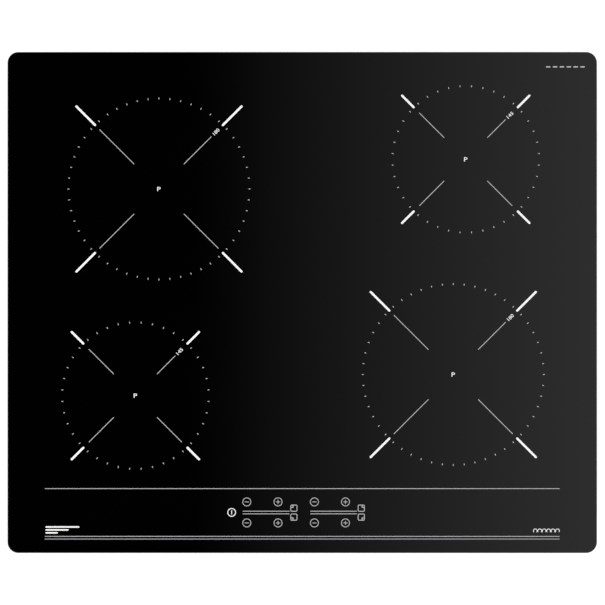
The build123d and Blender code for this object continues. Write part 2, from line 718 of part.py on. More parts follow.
with BuildPart() as filter_chokes:
    with BuildSketch(Plane.XY.offset(board_top)):
        with Locations(*on_both_boards([(145, 28), (145, -14)])):
            Circle(18)
            Circle(8, mode=Mode.SUBTRACT)
    extrude(amount=15)
    rims = filter_chokes.edges().group_by(Axis.Z)
    fillet(rims[-1] + rims[0], radius=3)
write(filter_chokes, "filter_chokes")

with BuildPart() as relays:
    with BuildSketch(Plane.XY.offset(board_top)):
        with Locations(*on_both_boards([(180, 36), (180, 2)])):
            RectangleRounded(13, 29, 1)
    extrude(amount=16)
    with BuildSketch(Plane.XY.offset(board_top)):
        with Locations(*on_both_boards([(176, -60), (176, -110)])):
            RectangleRounded(20, 34, 1)
    extrude(amount=10)
    chamfer(relays.edges().group_by(Axis.Z)[-1], length=0.5)
write(relays, "relays")

# ---------------------------------------------------------------- air duct
# A moulded channel, open below, that stands on the boards over the heat sinks. It narrows to the
# blower's mouth.
duct_width, duct_wall, duct_top = 156.0, 1.5, 30.4
duct_front, duct_neck, duct_back = board_y - board_depth / 2, 52.0, 93.5
mouth_left, mouth_right = -56.0, 2.6
duct_foot = board_top + 0.1
with BuildPart() as air_duct:
    with BuildSketch(Plane.XY.offset(duct_foot)):
        with BuildLine():
            Polyline(
                (-duct_width / 2, duct_front),
                (-duct_width / 2, duct_neck),
                (mouth_left, duct_back),
                (mouth_right, duct_back),
                (duct_width / 2, duct_neck),
                (duct_width / 2, duct_front),
                close=True,
            )
        make_face()
    extrude(amount=duct_top - duct_foot)
    ends = air_duct.faces().filter_by(Axis.Y)
    offset(amount=-duct_wall, openings=ends + air_duct.faces().sort_by(Axis.Z)[:1])
write(air_duct, "air_duct")

# ---------------------------------------------------------------- blower
# A radial blower: the impeller draws air in through the tray's grille and throws it into the duct.
volute_start, volute_growth, volute_wall = 46.0, 10.0, 1.6
volute_foot, volute_top = floor_top + 0.1, 28.8
plate = 1.6
inlet_radius = 34.0
outlet_y = duct_back + 0.5
impeller_radius, impeller_foot, impeller_top = 42.0, 5.4, 25.0
blade_count, blade_inner, blade_thickness = 36, 33.0, 0.9
cup_radius, cup_wall, cup_foot = 19.0, 1.2, 12.0
shaft_radius = 1.5


def volute_block(outset, foot, top, mouth_y):
    """The casing as a solid block: a spiral from the tongue round to the left, and a throat to the front."""
    steps = 12
    spiral_turn = 0.75
    points = []
    for step in range(steps + 1):
        turn = spiral_turn * step / steps
        r = volute_start + volute_growth * turn + outset
        angle = 2 * pi * turn - pi / 2
        points.append((r * cos(angle), r * sin(angle)))
    throat_width = outset - points[-1][0]
    throat_length = blower_y - mouth_y
    with BuildPart() as block:
        with BuildSketch(Plane((blower_x, blower_y, foot))):
            with BuildLine():
                spiral = Spline(*points)
                Polyline(spiral @ 1, (0, 0), spiral @ 0)
            make_face()
            with Locations((outset - throat_width / 2, -throat_length / 2)):
                Rectangle(throat_width, throat_length)
        extrude(amount=top - foot)
    return block.part


with BuildPart() as blower_housing:
    add(volute_block(volute_wall, volute_foot + plate, volute_top, outlet_y))
    add(volute_block(0, volute_foot, volute_top - plate, outlet_y - 1), mode=Mode.SUBTRACT)
write(blower_housing, "blower_housing")

with BuildPart() as blower_cover:
    add(volute_block(volute_wall, volute_foot, volute_foot + plate, outlet_y))
    with BuildSketch(Plane((blower_x, blower_y, volute_foot))):
        Circle(inlet_radius)
    extrude(amount=plate, mode=Mode.SUBTRACT)
write(blower_cover, "blower_cover")

with BuildPart() as blower_motor:
    with BuildSketch(Plane((blower_x, blower_y, volute_top - plate))):
        Circle(17)
    extrude(amount=-1.5)
    with BuildSketch(Plane((blower_x, blower_y, 15))):
        Circle(15.5)
    extrude(amount=8)
    with BuildSketch(Plane((blower_x, blower_y, 14.6))):
        Circle(3.4)
    extrude(amount=volute_top - plate - 14.6)
    with BuildSketch(Plane((blower_x, blower_y, 14))):
        Circle(shaft_radius + 0.1)
    extrude(amount=volute_top - plate - 14 - 0.4, mode=Mode.SUBTRACT)
write(blower_motor, "blower_motor")

blade_lead, blade_arc = 0.16, 9.0
blade_tip = impeller_radius - 0.8
with BuildSketch() as blade:
    tip_point = (blade_tip * cos(blade_lead), blade_tip * sin(blade_lead))
    SlotArc(RadiusArc((blade_inner, 0), tip_point, blade_arc, mode=Mode.PRIVATE), blade_thickness)

with BuildPart() as blower_rotor:
    # back plate, hub cup and shaft
    with BuildSketch(Plane((blower_x, blower_y, impeller_top - 1.2))):
        Circle(impeller_radius)
        Circle(cup_radius - cup_wall, mode=Mode.SUBTRACT)
    extrude(amount=1.2)
    with BuildSketch(Plane((blower_x, blower_y, cup_foot))):
        Circle(cup_radius)
    extrude(amount=impeller_top - cup_foot)
    with BuildSketch(Plane((blower_x, blower_y, cup_foot + 1.5))):
        Circle(cup_radius - cup_wall)
    extrude(amount=impeller_top, mode=Mode.SUBTRACT)
    with BuildSketch(Plane((blower_x, blower_y, cup_foot))):
        Circle(shaft_radius)
    extrude(amount=14)
    # forward-curved blades and the ring that ties their lower ends
    with BuildSketch(Plane((blower_x, blower_y, impeller_foot))):
        with PolarLocations(0, blade_count):
            add(blade.sketch)
    extrude(amount=impeller_top - 1.2 - impeller_foot)
    with BuildSketch(Plane((blower_x, blower_y, impeller_foot))):
        Circle(impeller_radius)
        Circle(impeller_radius - 1.6, mode=Mode.SUBTRACT)
    extrude(amount=1.4)
write(blower_rotor, "blower_rotor")

# ---------------------------------------------------------------- touch control
# A board under the front of the glass, with a sprung pad under each key and a display for each zone.
holder_x, holder_y, holder_width, holder_depth = -10.0, -215.0, 160.0, 45.6
holder_z, holder_top, holder_wall = 38.0, 48.0, 1.5
touch_z, touch_thickness = 42.5, 1.6
touch_top = touch_z + touch_thickness
pad_top = glass_under - 0.3
ribbon_x, ribbon_width = 58.0, 14.0

with BuildPart() as touch_holder:
    with BuildSketch(Plane.XY.offset(holder_z)):
        with Locations((holder_x, holder_y)):
            RectangleRounded(holder_width, holder_depth, 3)
    extrude(amount=holder_top - holder_z)
    with BuildSketch(Plane.XY.offset(holder_z + holder_wall)):
        with Locations((holder_x, holder_y)):
            RectangleRounded(holder_width - 2 * holder_wall, holder_depth - 2 * holder_wall, 1.5)
    extrude(amount=holder_top - holder_z, mode=Mode.SUBTRACT)
    # ledges that the board lies on, and legs down to the tray floor
    with BuildSketch(Plane.XY.offset(holder_z)):
        with Locations((holder_x, holder_y)):
            with GridLocations(holder_width - 12, holder_depth - 12, 2, 2):
                Circle(3)
    extrude(amount=touch_z - holder_z)
    with BuildSketch(Plane.XY.offset(holder_z)):
        with Locations((holder_x, holder_y)):
            with GridLocations(holder_width - 20, holder_depth - 16, 2, 2):
                Circle(3)
    extrude(amount=-(holder_z - floor_top))
    # a notch for the ribbon cable in the back wall
    with BuildSketch(Plane.XY.offset(touch_z - 1)):
        with Locations((ribbon_x, holder_y + holder_depth / 2)):
            Rectangle(ribbon_width + 2, 3 * holder_wall)
    extrude(amount=holder_top, mode=Mode.SUBTRACT)
write(touch_holder, "touch_holder")

with BuildPart() as touch_board:
    with BuildSketch(Plane.XY.offset(touch_z)):
        with Locations((holder_x, holder_y)):
            RectangleRounded(holder_width - 4, holder_depth - 4, 1.2)
    extrude(amount=touch_thickness)
    # controller, ribbon socket and buzzer
    with BuildSketch(Plane.XY.offset(touch_top)):
        with Locations((-6, -206)):
            Rectangle(10, 10)
        with Locations((ribbon_x, -197)):
            Rectangle(ribbon_width + 2, 5)
    extrude(amount=2)
    with BuildSketch(Plane.XY.offset(touch_top)):
        with Locations((59, -215)):
            Circle(6)
            Circle(1.5, mode=Mode.SUBTRACT)
    extrude(amount=5)
write(touch_board, "touch_board")

with BuildPart() as zone_displays:
    with BuildSketch(Plane.XY.offset(touch_top)):
        with Locations(*[(x, y) for x in display_columns for y in key_rows]):
            Rectangle(10, 11)
    extrude(amount=6.4)
write(zone_displays, "zone_displays")

key_places = [power_key] + [(x, y) for x in minus_columns + plus_columns for y in key_rows]
with BuildPart() as touch_springs:
    with BuildSketch(Plane.XY.offset(touch_top)):
        with Locations(*key_places):
            Circle(4.5)
            Circle(3.5, mode=Mode.SUBTRACT)
    extrude(amount=pad_top - touch_top)
write(touch_springs, "touch_springs")

# ---------------------------------------------------------------- wiring
# Mains wires from the terminal block, straight on to the right board and round behind the blower to
# the left board, and the coils' leads, which rise from the boards through the deck.
wire_radius, wire_bend = 1.3, 4.0
block_front = block_y - block_depth / 2
board_end = board_y + board_depth / 2 - 4
wire_x = [x for x, _ in pole_places[1:4]]
lead_pitch, lead_top = 8.0, 39.0


def wire(*points):
    """A round wire along straight runs joined by arcs."""
    with BuildPart() as run:
        with BuildLine() as path:
            FilletPolyline(*points, radius=wire_bend)
        with BuildSketch(Plane(path.line @ 0, z_dir=path.line % 0)):
            Circle(wire_radius)
        sweep(path=path.line)
    return run.part


with BuildPart() as internal_wiring:
    for x in wire_x:
        add(
            wire(
                (x, block_front, 18),
                (x, board_end + 25, 18),
                (x, board_end, 15),
                (x, board_end, board_top + 0.5),
            )
        )
    for strand in range(2):
        aside = 3 * strand
        start = pole_places[0][0] - 1.6 + 3.2 * strand
        add(
            wire(
                (start, block_front, 18),
                (start, left_wires_y - aside, 18),
                (106, left_wires_y - aside, 18),
                (92, left_wires_y - aside, 4),
                (74, left_wires_y - aside, 4),
                (44, 214 - aside, 4),
                (-90, 214 - aside, 4),
                (-140 + aside, 170, 4),
                (-140 + aside, board_end + 18, 4),
                (-140 + aside, board_end + 6, board_top + 4),
                (-140 + aside, board_end - 8, board_top + 1.5),
            )
        )
    with BuildSketch(Plane.XY.offset(board_top)):
        with Locations(*lead_places.values()):
            with GridLocations(lead_pitch, 1, 2, 1):
                Circle(wire_radius)
    extrude(amount=lead_top - board_top)
write(internal_wiring, "internal_wiring")

# A flat ribbon from the touch board's socket down to the right power board.
ribbon_thickness = 1.0
ribbon_drop_y = deck_front - 8
with BuildPart() as control_cable:
    with BuildLine(Plane.YZ.offset(ribbon_x)) as ribbon_path:
        FilletPolyline(
            (-194.4, touch_top + 0.9),
            (ribbon_drop_y, touch_top + 0.9),
            (ribbon_drop_y, board_top + 1),
            (-160, board_top + 1),
            radius=4,
        )
    with BuildSketch(Plane(ribbon_path.line @ 0, x_dir=(1, 0, 0), z_dir=ribbon_path.line % 0)):
        Rectangle(ribbon_width, ribbon_thickness)
    sweep(path=ribbon_path.line)
write(control_cable, "control_cable")
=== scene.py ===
import math

import bmesh
import bpy
from mathutils import Matrix, Vector


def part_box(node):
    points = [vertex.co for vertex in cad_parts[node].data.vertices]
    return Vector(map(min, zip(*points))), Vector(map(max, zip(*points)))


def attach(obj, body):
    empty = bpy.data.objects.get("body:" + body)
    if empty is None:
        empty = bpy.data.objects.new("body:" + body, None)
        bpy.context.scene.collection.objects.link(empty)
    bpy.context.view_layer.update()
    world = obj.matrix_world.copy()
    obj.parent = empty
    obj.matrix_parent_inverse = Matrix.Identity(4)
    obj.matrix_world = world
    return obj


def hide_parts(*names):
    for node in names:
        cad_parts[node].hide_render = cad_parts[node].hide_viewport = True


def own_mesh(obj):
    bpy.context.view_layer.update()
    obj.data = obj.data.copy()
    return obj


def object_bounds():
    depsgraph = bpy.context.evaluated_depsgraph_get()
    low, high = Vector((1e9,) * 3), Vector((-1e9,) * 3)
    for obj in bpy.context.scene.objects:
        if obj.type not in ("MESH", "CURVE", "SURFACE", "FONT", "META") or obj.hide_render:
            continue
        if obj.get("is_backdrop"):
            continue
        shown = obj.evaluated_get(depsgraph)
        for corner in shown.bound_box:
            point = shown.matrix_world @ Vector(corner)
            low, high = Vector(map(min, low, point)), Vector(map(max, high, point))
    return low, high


# A built-in induction hob, lying on a white table. Metres, in the CAD model's frame: X to the user's right,
# Y to the back, Z up.
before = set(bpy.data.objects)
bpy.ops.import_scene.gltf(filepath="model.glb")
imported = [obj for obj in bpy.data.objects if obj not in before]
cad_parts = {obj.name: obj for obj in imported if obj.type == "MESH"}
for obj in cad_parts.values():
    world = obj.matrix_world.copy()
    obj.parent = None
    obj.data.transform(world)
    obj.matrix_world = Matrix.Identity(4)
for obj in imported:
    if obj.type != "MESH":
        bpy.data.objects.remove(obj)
cad_low, cad_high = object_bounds()


# ---- Studio --------------------------------------------------
# A lens far above the hob and square to it. Around it stands a tent of eight soft white panels, with a dark
# flag straight overhead, so the polished glass stays black on the left and picks up a soft grey towards the
# right.
def node(tree, kind, sockets=None, **settings):
    """Adds one node. Settings are its attributes, and sockets are values or other nodes' outputs."""
    made = tree.nodes.new(kind)
    for name, value in settings.items():
        setattr(made, name, value)
    for key, value in (sockets or {}).items():
        if isinstance(value, bpy.types.NodeSocket):
            tree.links.new(value, made.inputs[key])
        else:
            made.inputs[key].default_value = value
    return made


def colour(hex_code):
    """A linear colour from an sRGB hex value such as #c8ccd0."""
    parts = [int(hex_code[i : i + 2], 16) / 255 for i in (1, 3, 5)]
    return [p / 12.92 if p <= 0.04045 else ((p + 0.055) / 1.055) ** 2.4 for p in parts] + [1.0]


scene = bpy.context.scene
camera_data = bpy.data.cameras.new("camera")
camera_data.lens, camera_data.sensor_width = 135, 36
camera = bpy.data.objects.new("camera", camera_data)
view_width = 0.61567  # what the view spans, at the height of the glass
view_shift = 0.00028  # how far right of the hob's middle the view is centred
camera_height = view_width * camera_data.lens / camera_data.sensor_width
camera.location = (view_shift, 0, cad_high.z + camera_height)
scene.collection.objects.link(camera)
scene.camera = camera
scene.view_settings.view_transform = "Standard"

world = bpy.data.worlds.new("white_tent")
scene.world = world
world.use_nodes = True
tree = world.node_tree
tree.nodes.clear()
towards = node(tree, "ShaderNodeSeparateXYZ", {0: node(tree, "ShaderNodeTexCoord").outputs["Generated"]})
aside, back, up = towards.outputs

# The tent's wall grows brighter upwards. Low down its panels show, as bright and dim stretches.
wall_rise = {"Value": up, "From Min": 0.22, "From Max": 0.85, "To Min": 0.14, "To Max": 1.4}
tent = node(tree, "ShaderNodeMapRange", wall_rise, interpolation_type="SMOOTHSTEP")
panel_count = 8
azimuth = node(tree, "ShaderNodeMath", {0: back, 1: aside}, operation="ARCTAN2")
panel_phase = node(tree, "ShaderNodeMath", {0: azimuth.outputs[0], 1: panel_count}, operation="MULTIPLY")
panel_wave = node(tree, "ShaderNodeMath", {0: panel_phase.outputs[0]}, operation="SINE").outputs[0]
panel_light = {"Value": panel_wave, "From Min": -1.0, "From Max": 1.0, "To Min": 0.35, "To Max": 1.65}
panels = node(tree, "ShaderNodeMapRange", panel_light)
panel_fade = {"Value": up, "From Min": 0.5, "From Max": 0.8, "To Min": 1.0, "To Max": 0.0}
low_down = node(tree, "ShaderNodeMapRange", panel_fade)
panel_share = node(tree, "ShaderNodeMix", {0: low_down.outputs[0], 2: 1.0, 3: panels.outputs[0]})
wall = node(tree, "ShaderNodeMath", {0: tent.outputs[0], 1: panel_share.outputs[0]}, operation="MULTIPLY")

# The flag is black up to its soft edge, a little left of the middle, and lets in more light to the right.
flag_slope, flag_light, backdrop_light = 1.2, 0.62, 1.1
flag_edge = {"Value": aside, "From Min": -0.049, "From Max": 0.131}
across = node(tree, "ShaderNodeMapRange", flag_edge, clamp=False)
beyond_edge = node(tree, "ShaderNodeMath", {0: across.outputs[0], 1: 0.0}, operation="MAXIMUM")
fade = node(tree, "ShaderNodeMath", {0: beyond_edge.outputs[0], 1: flag_slope}, operation="POWER")
flag = node(tree, "ShaderNodeMath", {0: fade.outputs[0], 1: flag_light}, operation="MULTIPLY")
flag_rim = {"Value": up, "From Min": 0.94, "From Max": 0.975}
overhead = node(tree, "ShaderNodeMapRange", flag_rim, interpolation_type="SMOOTHSTEP")
sky = node(tree, "ShaderNodeMix", {0: overhead.outputs[0], 2: wall.outputs[0], 3: flag.outputs[0]})
backdrop = node(tree, "ShaderNodeLightPath").outputs["Is Camera Ray"]
shown = node(tree, "ShaderNodeMix", {0: backdrop, 2: sky.outputs[0], 3: backdrop_light})
light = {"Color": colour("#ffffff"), "Strength": shown.outputs[0]}
background = node(tree, "ShaderNodeBackground", light)
node(tree, "ShaderNodeOutputWorld", {0: background.outputs[0]})

window_data = bpy.data.lights.new("window_light", "AREA")
window_data.shape, window_data.size, window_data.size_y = "RECTANGLE", 1.6, 0.9
window_data.energy = 16
window_light = bpy.data.objects.new("window_light", window_data)
window_light.location = (-1.3, -1.5, 1.7)
window_light.rotation_euler = (-window_light.location).to_track_quat("-Z", "Y").to_euler()
scene.collection.objects.link(window_light)


def surface(name, recipe):
    """A named material. The recipe adds its patterns to the tree and returns its shader's sockets."""
    made = bpy.data.materials.new(name)
    made.use_nodes = True
    tree = made.node_tree
    tree.nodes.clear()
    place = node(tree, "ShaderNodeTexCoord").outputs["Object"]
    shader = node(tree, "ShaderNodeBsdfPrincipled", recipe(tree, place))
    node(tree, "ShaderNodeOutputMaterial", {0: shader.outputs[0]})
    return made


def lit_acrylic(tree, place):
    """White acrylic lit from below, so that it stays white and takes only a light shadow."""
    return {
        "Base Color": colour("#a2a2a2"),
        "Roughness": 0.7,
        "Specular IOR Level": 0.1,
        "Emission Color": colour("#ffffff"),
        "Emission Strength": 0.79,
    }


table_half = 6.0
table_mesh = bpy.data.meshes.new("table")
table_corners = [(x * table_half, y * table_half, cad_low.z) for x, y in ((-1, -1), (1, -1), (1, 1), (-1, 1))]
table_mesh.from_pydata(table_corners, [], [(0, 1, 2, 3)])
table_mesh.materials.append(surface("lit_acrylic", lit_acrylic))
table = bpy.data.objects.new("table", table_mesh)
scene.collection.objects.link(table)
table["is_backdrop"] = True


# ---- Glass plate ---------------------------------------------
# One 4 mm plate of black glass-ceramic with ground, polished edges. It is polished flat, so it mirrors
# softly, and only a faint unevenness of the gloss tells it from a perfect mirror.
MM = 0.001


def features(millimetres):
    """The texture scale whose features are this wide."""
    return 1 / (millimetres * MM)


def dress(name, made):
    """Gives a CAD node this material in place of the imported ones."""
    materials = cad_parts[name].data.materials
    for index in range(len(materials)):
        materials[index] = made


def black_glass_ceramic(tree, place):
    """Glass dyed black and polished flat: a near mirror on pure black, with a faintly uneven gloss."""
    polish = node(tree, "ShaderNodeTexNoise", {"Vector": place, "Scale": features(60), "Detail": 3.0})
    unevenness = polish.outputs[0]
    gloss_range = {"Value": unevenness, "From Min": 0.3, "From Max": 0.7, "To Min": 0.02, "To Max": 0.055}
    gloss = node(tree, "ShaderNodeMapRange", gloss_range)
    return {"Base Color": colour("#010101"), "Roughness": gloss.outputs[0], "IOR": 1.53}


dress("glass_top", surface("black_glass_ceramic", black_glass_ceramic))
glass_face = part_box("glass_top")[1].z


# ---- Printed enamel ------------------------------------------
# Ceramic ink, screen-printed on the glass and fired into it: satin, slightly raised, with a faint mottle from
# the screen. A white for the bars, the figures and the power key, and two greys for the rest.
def enamel(dark, light):
    """Fired ceramic ink: opaque and satin, so that it reads as one flat tone beside the mirroring glass."""

    def recipe(tree, place):
        mottle = node(tree, "ShaderNodeTexNoise", {"Vector": place, "Scale": features(2.5), "Detail": 3.0})
        tones = {0: mottle.outputs[0], 6: colour(dark), 7: colour(light)}
        shade = node(tree, "ShaderNodeMix", tones, data_type="RGBA").outputs[2]
        screen = node(tree, "ShaderNodeTexNoise", {"Vector": place, "Scale": features(0.3), "Detail": 1.0})
        relief = node(tree, "ShaderNodeBump", {"Height": screen.outputs[0], "Distance": 0.01 * MM}).outputs[0]
        return {"Base Color": shade, "Roughness": 0.5, "Specular IOR Level": 0.3, "Normal": relief}

    return recipe


white_enamel = surface("white_fired_enamel", enamel("#efefed", "#fafaf8"))
grey_enamel = surface("grey_fired_enamel", enamel("#adaeaf", "#b9babb"))
dull_enamel = surface("dull_grey_fired_enamel", enamel("#77787a", "#828385"))
ink_low, ink_high = glass_face - 0.02 * MM, glass_face + 0.03 * MM


def plate(mesh, outline):
    """Adds one closed, flat print inside an anticlockwise outline."""
    under = [mesh.verts.new((x, y, ink_low)) for x, y in outline]
    over = [mesh.verts.new((x, y, ink_high)) for x, y in outline]
    mesh.faces.new(reversed(under))
    mesh.faces.new(over)
    for i in range(len(outline)):
        mesh.faces.new((under[i - 1], under[i], over[i], over[i - 1]))


def arc_points(centre, radius, first, last, steps):
    """Points along an arc, both ends included."""
    angles = [first + (last - first) * step / steps for step in range(steps + 1)]
    return [(centre[0] + radius * math.cos(a), centre[1] + radius * math.sin(a)) for a in angles]


def stroke(mesh, start, end, width):
    """Adds a printed line with round ends about its two end points."""
    end_steps = 6
    turn = math.atan2(end[1] - start[1], end[0] - start[0])
    right, left = turn - math.pi / 2, turn + math.pi / 2
    far_end = arc_points(end, width / 2, right, left, end_steps)
    near_end = arc_points(start, width / 2, left, left + math.pi, end_steps)
    plate(mesh, far_end + near_end)


def outline_band(mesh, inner, outer, closed=True):
    """Adds a flat print between two outlines of as many points each, all round them or from end to end."""
    loops = [
        [mesh.verts.new((x, y, z)) for x, y in outline]
        for outline, z in ((inner, ink_low), (outer, ink_low), (outer, ink_high), (inner, ink_high))
    ]
    for a, b in zip(loops, loops[1:] + loops[:1]):
        for i in range(0 if closed else 1, len(a)):
            mesh.faces.new((a[i - 1], b[i - 1], b[i], a[i]))
    if not closed:
        mesh.faces.new([loop[0] for loop in loops])
        mesh.faces.new([loop[-1] for loop in reversed(loops)])


def ring(mesh, centre, radius, width):
    """Adds a printed ring."""
    ring_steps = 64
    edges = [arc_points(centre, radius + side * width / 2, 0, math.tau, ring_steps)[:-1] for side in (-1, 1)]
    outline_band(mesh, *edges)


def rounded_square(centre, side, radius):
    """The outline of a square with round corners, anticlockwise."""
    outline, corner_steps = [], 5
    reach = (side / 2 - radius) * math.sqrt(2)
    for corner in range(4):
        quarter = math.pi / 2 * corner
        diagonal = quarter + math.pi / 4
        middle = (centre[0] + reach * math.cos(diagonal), centre[1] + reach * math.sin(diagonal))
        outline += arc_points(middle, radius, quarter, quarter + math.pi / 2, corner_steps)
    return outline


def lettering(mesh, words, centre, height, width, turn=0.0):
    """Adds plain sans-serif capitals or figures, centred on a place, with this height and width in all."""
    text = bpy.data.curves.new("lettering", "FONT")
    text.body, text.extrude, text.resolution_u, text.offset = words, 1.0, 4, 0.005
    holder = bpy.data.objects.new("lettering", text)
    scene.collection.objects.link(holder)
    flat = bpy.data.meshes.new_from_object(holder.evaluated_get(bpy.context.evaluated_depsgraph_get()))
    bpy.data.objects.remove(holder)
    xs, ys = ([v.co[axis] for v in flat.vertices] for axis in (0, 1))
    middle = Vector(((max(xs) + min(xs)) / 2, (max(ys) + min(ys)) / 2, 0))
    half = (ink_high - ink_low) / 2
    flat.transform(
        Matrix.Translation((centre[0], centre[1], ink_low + half))
        @ Matrix.Rotation(turn, 4, "Z")
        @ Matrix.Diagonal((width / (max(xs) - min(xs)), height / (max(ys) - min(ys)), half, 1))
        @ Matrix.Translation(-middle)
    )
    welded = bmesh.new()
    welded.from_mesh(flat)
    bmesh.ops.remove_doubles(welded, verts=welded.verts, dist=0.002 * MM)
    welded.to_mesh(flat)
    welded.free()
    mesh.from_mesh(flat)


def piece(name, mesh, made):
    """Turns a bmesh into a finished object that rides on the fixed body."""
    bmesh.ops.recalc_face_normals(mesh, faces=mesh.faces)
    data = bpy.data.meshes.new(name)
    mesh.to_mesh(data)
    mesh.free()
    data.materials.append(made)
    holder = bpy.data.objects.new(name, data)
    scene.collection.objects.link(holder)
    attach(holder, "root")
    return holder


# ---- Cooking zones -------------------------------------------
# Each zone is a ring of short radial ticks, a cross of thin lines that stops short of the middle, a white bar
# across the ring on each arm, the pan size on the arm to the back right, and a boost sign in the middle.
def grow(name, tree, body, places=(), **inputs):
    """Runs a Geometry Nodes tree, on these places if it needs any, and keeps the mesh it makes on a body."""
    start = bpy.data.meshes.new(name)
    start.from_pydata(places, [], [])
    holder = bpy.data.objects.new(name, start)
    scene.collection.objects.link(holder)
    modifier = holder.modifiers.new("grow", "NODES")
    modifier.node_group = tree
    for item in tree.interface.items_tree:
        if item.in_out == "INPUT" and item.name in inputs:
            modifier[item.identifier] = inputs[item.name]
    grown = bpy.data.meshes.new_from_object(holder.evaluated_get(bpy.context.evaluated_depsgraph_get()))
    holder.modifiers.remove(modifier)
    grown.name = name
    holder.data = grown
    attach(holder, body)
    return holder


def geometry_tree(name, **inputs):
    """An empty Geometry Nodes tree with these inputs, each given as its kind of socket."""
    tree = bpy.data.node_groups.new(name, "GeometryNodeTree")
    tree.interface.new_socket("geometry", in_out="OUTPUT", socket_type="NodeSocketGeometry")
    for key, kind in inputs.items():
        tree.interface.new_socket(key, in_out="INPUT", socket_type=f"NodeSocket{kind}")
    return tree, node(tree, "NodeGroupInput").outputs


def deliver(tree, copies, made, centre=(0, 0, 0), first_angle=0.0):
    """Turns and moves the copies to their place, makes them real, gives them a material and ends the tree."""
    start = node(tree, "ShaderNodeCombineXYZ", {"Z": first_angle})
    move = {"Geometry": copies, "Translation": centre, "Rotation": start.outputs[0]}
    placed = node(tree, "GeometryNodeTransform", move)
    real = node(tree, "GeometryNodeRealizeInstances", {0: placed.outputs[0]})
    painted = node(tree, "GeometryNodeSetMaterial", {"Geometry": real.outputs[0], "Material": made})
    node(tree, "NodeGroupOutput", {0: painted.outputs[0]})


def copies_round_a_ring(tree, ring_points, instance):
    """An instance on each point of a ring about the origin, turned to face outwards."""
    place = node(tree, "ShaderNodeSeparateXYZ", {0: node(tree, "GeometryNodeInputPosition").outputs[0]})
    y_and_x = {0: place.outputs["Y"], 1: place.outputs["X"]}
    outwards = node(tree, "ShaderNodeMath", y_and_x, operation="ARCTAN2")
    turn = node(tree, "ShaderNodeCombineXYZ", {"Z": outwards.outputs[0]})
    copies = {"Points": ring_points, "Instance": instance, "Rotation": turn.outputs[0]}
    return node(tree, "GeometryNodeInstanceOnPoints", copies).outputs[0]


tick_tree, given = geometry_tree(
    "ring_of_ticks",
    centre="Vector",
    radius="Float",
    count="Int",
    first_angle="Float",
    tick_length="Float",
    tick_width="Float",
    thickness="Float",
    ink="Material",
)
tick_radius = node(tick_tree, "ShaderNodeMath", {0: given["tick_width"], 1: 0.5}, operation="MULTIPLY")
tick_disc = {"Vertices": 12, "Radius": tick_radius.outputs[0], "Depth": given["thickness"]}
round_tick = node(tick_tree, "GeometryNodeMeshCylinder", tick_disc)
length_and_width = {0: given["tick_length"], 1: given["tick_width"]}
tick_stretch = node(tick_tree, "ShaderNodeMath", length_and_width, operation="DIVIDE")
outward_scale = node(tick_tree, "ShaderNodeCombineXYZ", {"X": tick_stretch.outputs[0], "Y": 1.0, "Z": 1.0})
stretched = {"Geometry": round_tick.outputs[0], "Scale": outward_scale.outputs[0]}
long_tick = node(tick_tree, "GeometryNodeTransform", stretched)
tick_circle = {"Vertices": given["count"], "Radius": given["radius"]}
tick_places = node(tick_tree, "GeometryNodeMeshCircle", tick_circle)
ticks = copies_round_a_ring(tick_tree, tick_places.outputs[0], long_tick.outputs[0])
deliver(tick_tree, ticks, given["ink"], given["centre"], given["first_angle"])

# Of each pan size, in mm: the ring's radius and its number of ticks, how far from the middle the white bars
# and the thin lines start and stop, where the line with the figures stops, and where the figures stand.
pan_prints = {
    180: dict(ring=92.1, ticks=52, bar=(92.0, 118.8), line=(36.1, 85.3), figured_line=75.2, figures=82.3),
    145: dict(ring=74.6, ticks=40, bar=(75.0, 91.6), line=(31.4, 66.6), figured_line=57.2, figures=63.7),
}
zone_pans = {"rear_left": 180, "rear_right": 145, "front_left": 145, "front_right": 180}
bar_width, line_width = 2.2 * MM, 0.7 * MM
figure_height, figure_width = 3.5 * MM, 7.4 * MM
boost_height, boost_width = 4.2 * MM, 3.4 * MM


def middle_of(name):
    """The middle of a CAD node's box."""
    low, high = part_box(name)
    return (low + high) / 2


bars, lines, figures = bmesh.new(), bmesh.new(), bmesh.new()
for zone, pan in zone_pans.items():
    centre = middle_of(f"mica_disc_{zone}").xy
    printed = pan_prints[pan]
    half_step = math.pi / printed["ticks"]
    grow(
        f"zone_ring_{zone}",
        tick_tree,
        "root",
        centre=(*centre, (ink_low + ink_high) / 2),
        radius=printed["ring"] * MM,
        count=printed["ticks"],
        first_angle=half_step if pan == 145 else 0.0,
        tick_length=2.1 * MM,
        tick_width=0.85 * MM,
        thickness=ink_high - ink_low,
        ink=grey_enamel,
    )
    for arm in range(4):
        angle = math.pi / 4 + math.pi / 2 * arm
        along = Vector((math.cos(angle), math.sin(angle)))
        line_from, line_to = printed["line"]
        if arm == 0:
            line_to = printed["figured_line"]
            place = centre + along * printed["figures"] * MM
            lettering(figures, str(pan), place, figure_height, figure_width, angle)
        spans = ((bars, printed["bar"], bar_width), (lines, (line_from, line_to), line_width))
        for mesh, span, width in spans:
            stroke(mesh, *[centre + along * reach * MM for reach in span], width)
    lettering(figures, "P", centre, boost_height, boost_width)
piece("zone_bars", bars, white_enamel)
piece("zone_lines", lines, grey_enamel)
piece("zone_figures", figures, white_enamel)


# ---- Control strip -------------------------------------------
# One thin line behind the touch keys and a double line in front of them run nearly from edge to edge. There
# are two blocks of keys, each with a minus and a plus in two rows, a double rule between the rows and two
# zone signs.
strip_half = 261.6 * MM
strip, foot_line = bmesh.new(), bmesh.new()
for mesh, y, width in ((strip, -189.4, 0.66), (strip, -238.0, 0.66), (foot_line, -240.7, 1.15)):
    stroke(mesh, (-strip_half, y * MM), (strip_half, y * MM), width * MM)
piece("strip_lines", strip, grey_enamel)
piece("strip_foot_line", foot_line, dull_enamel)

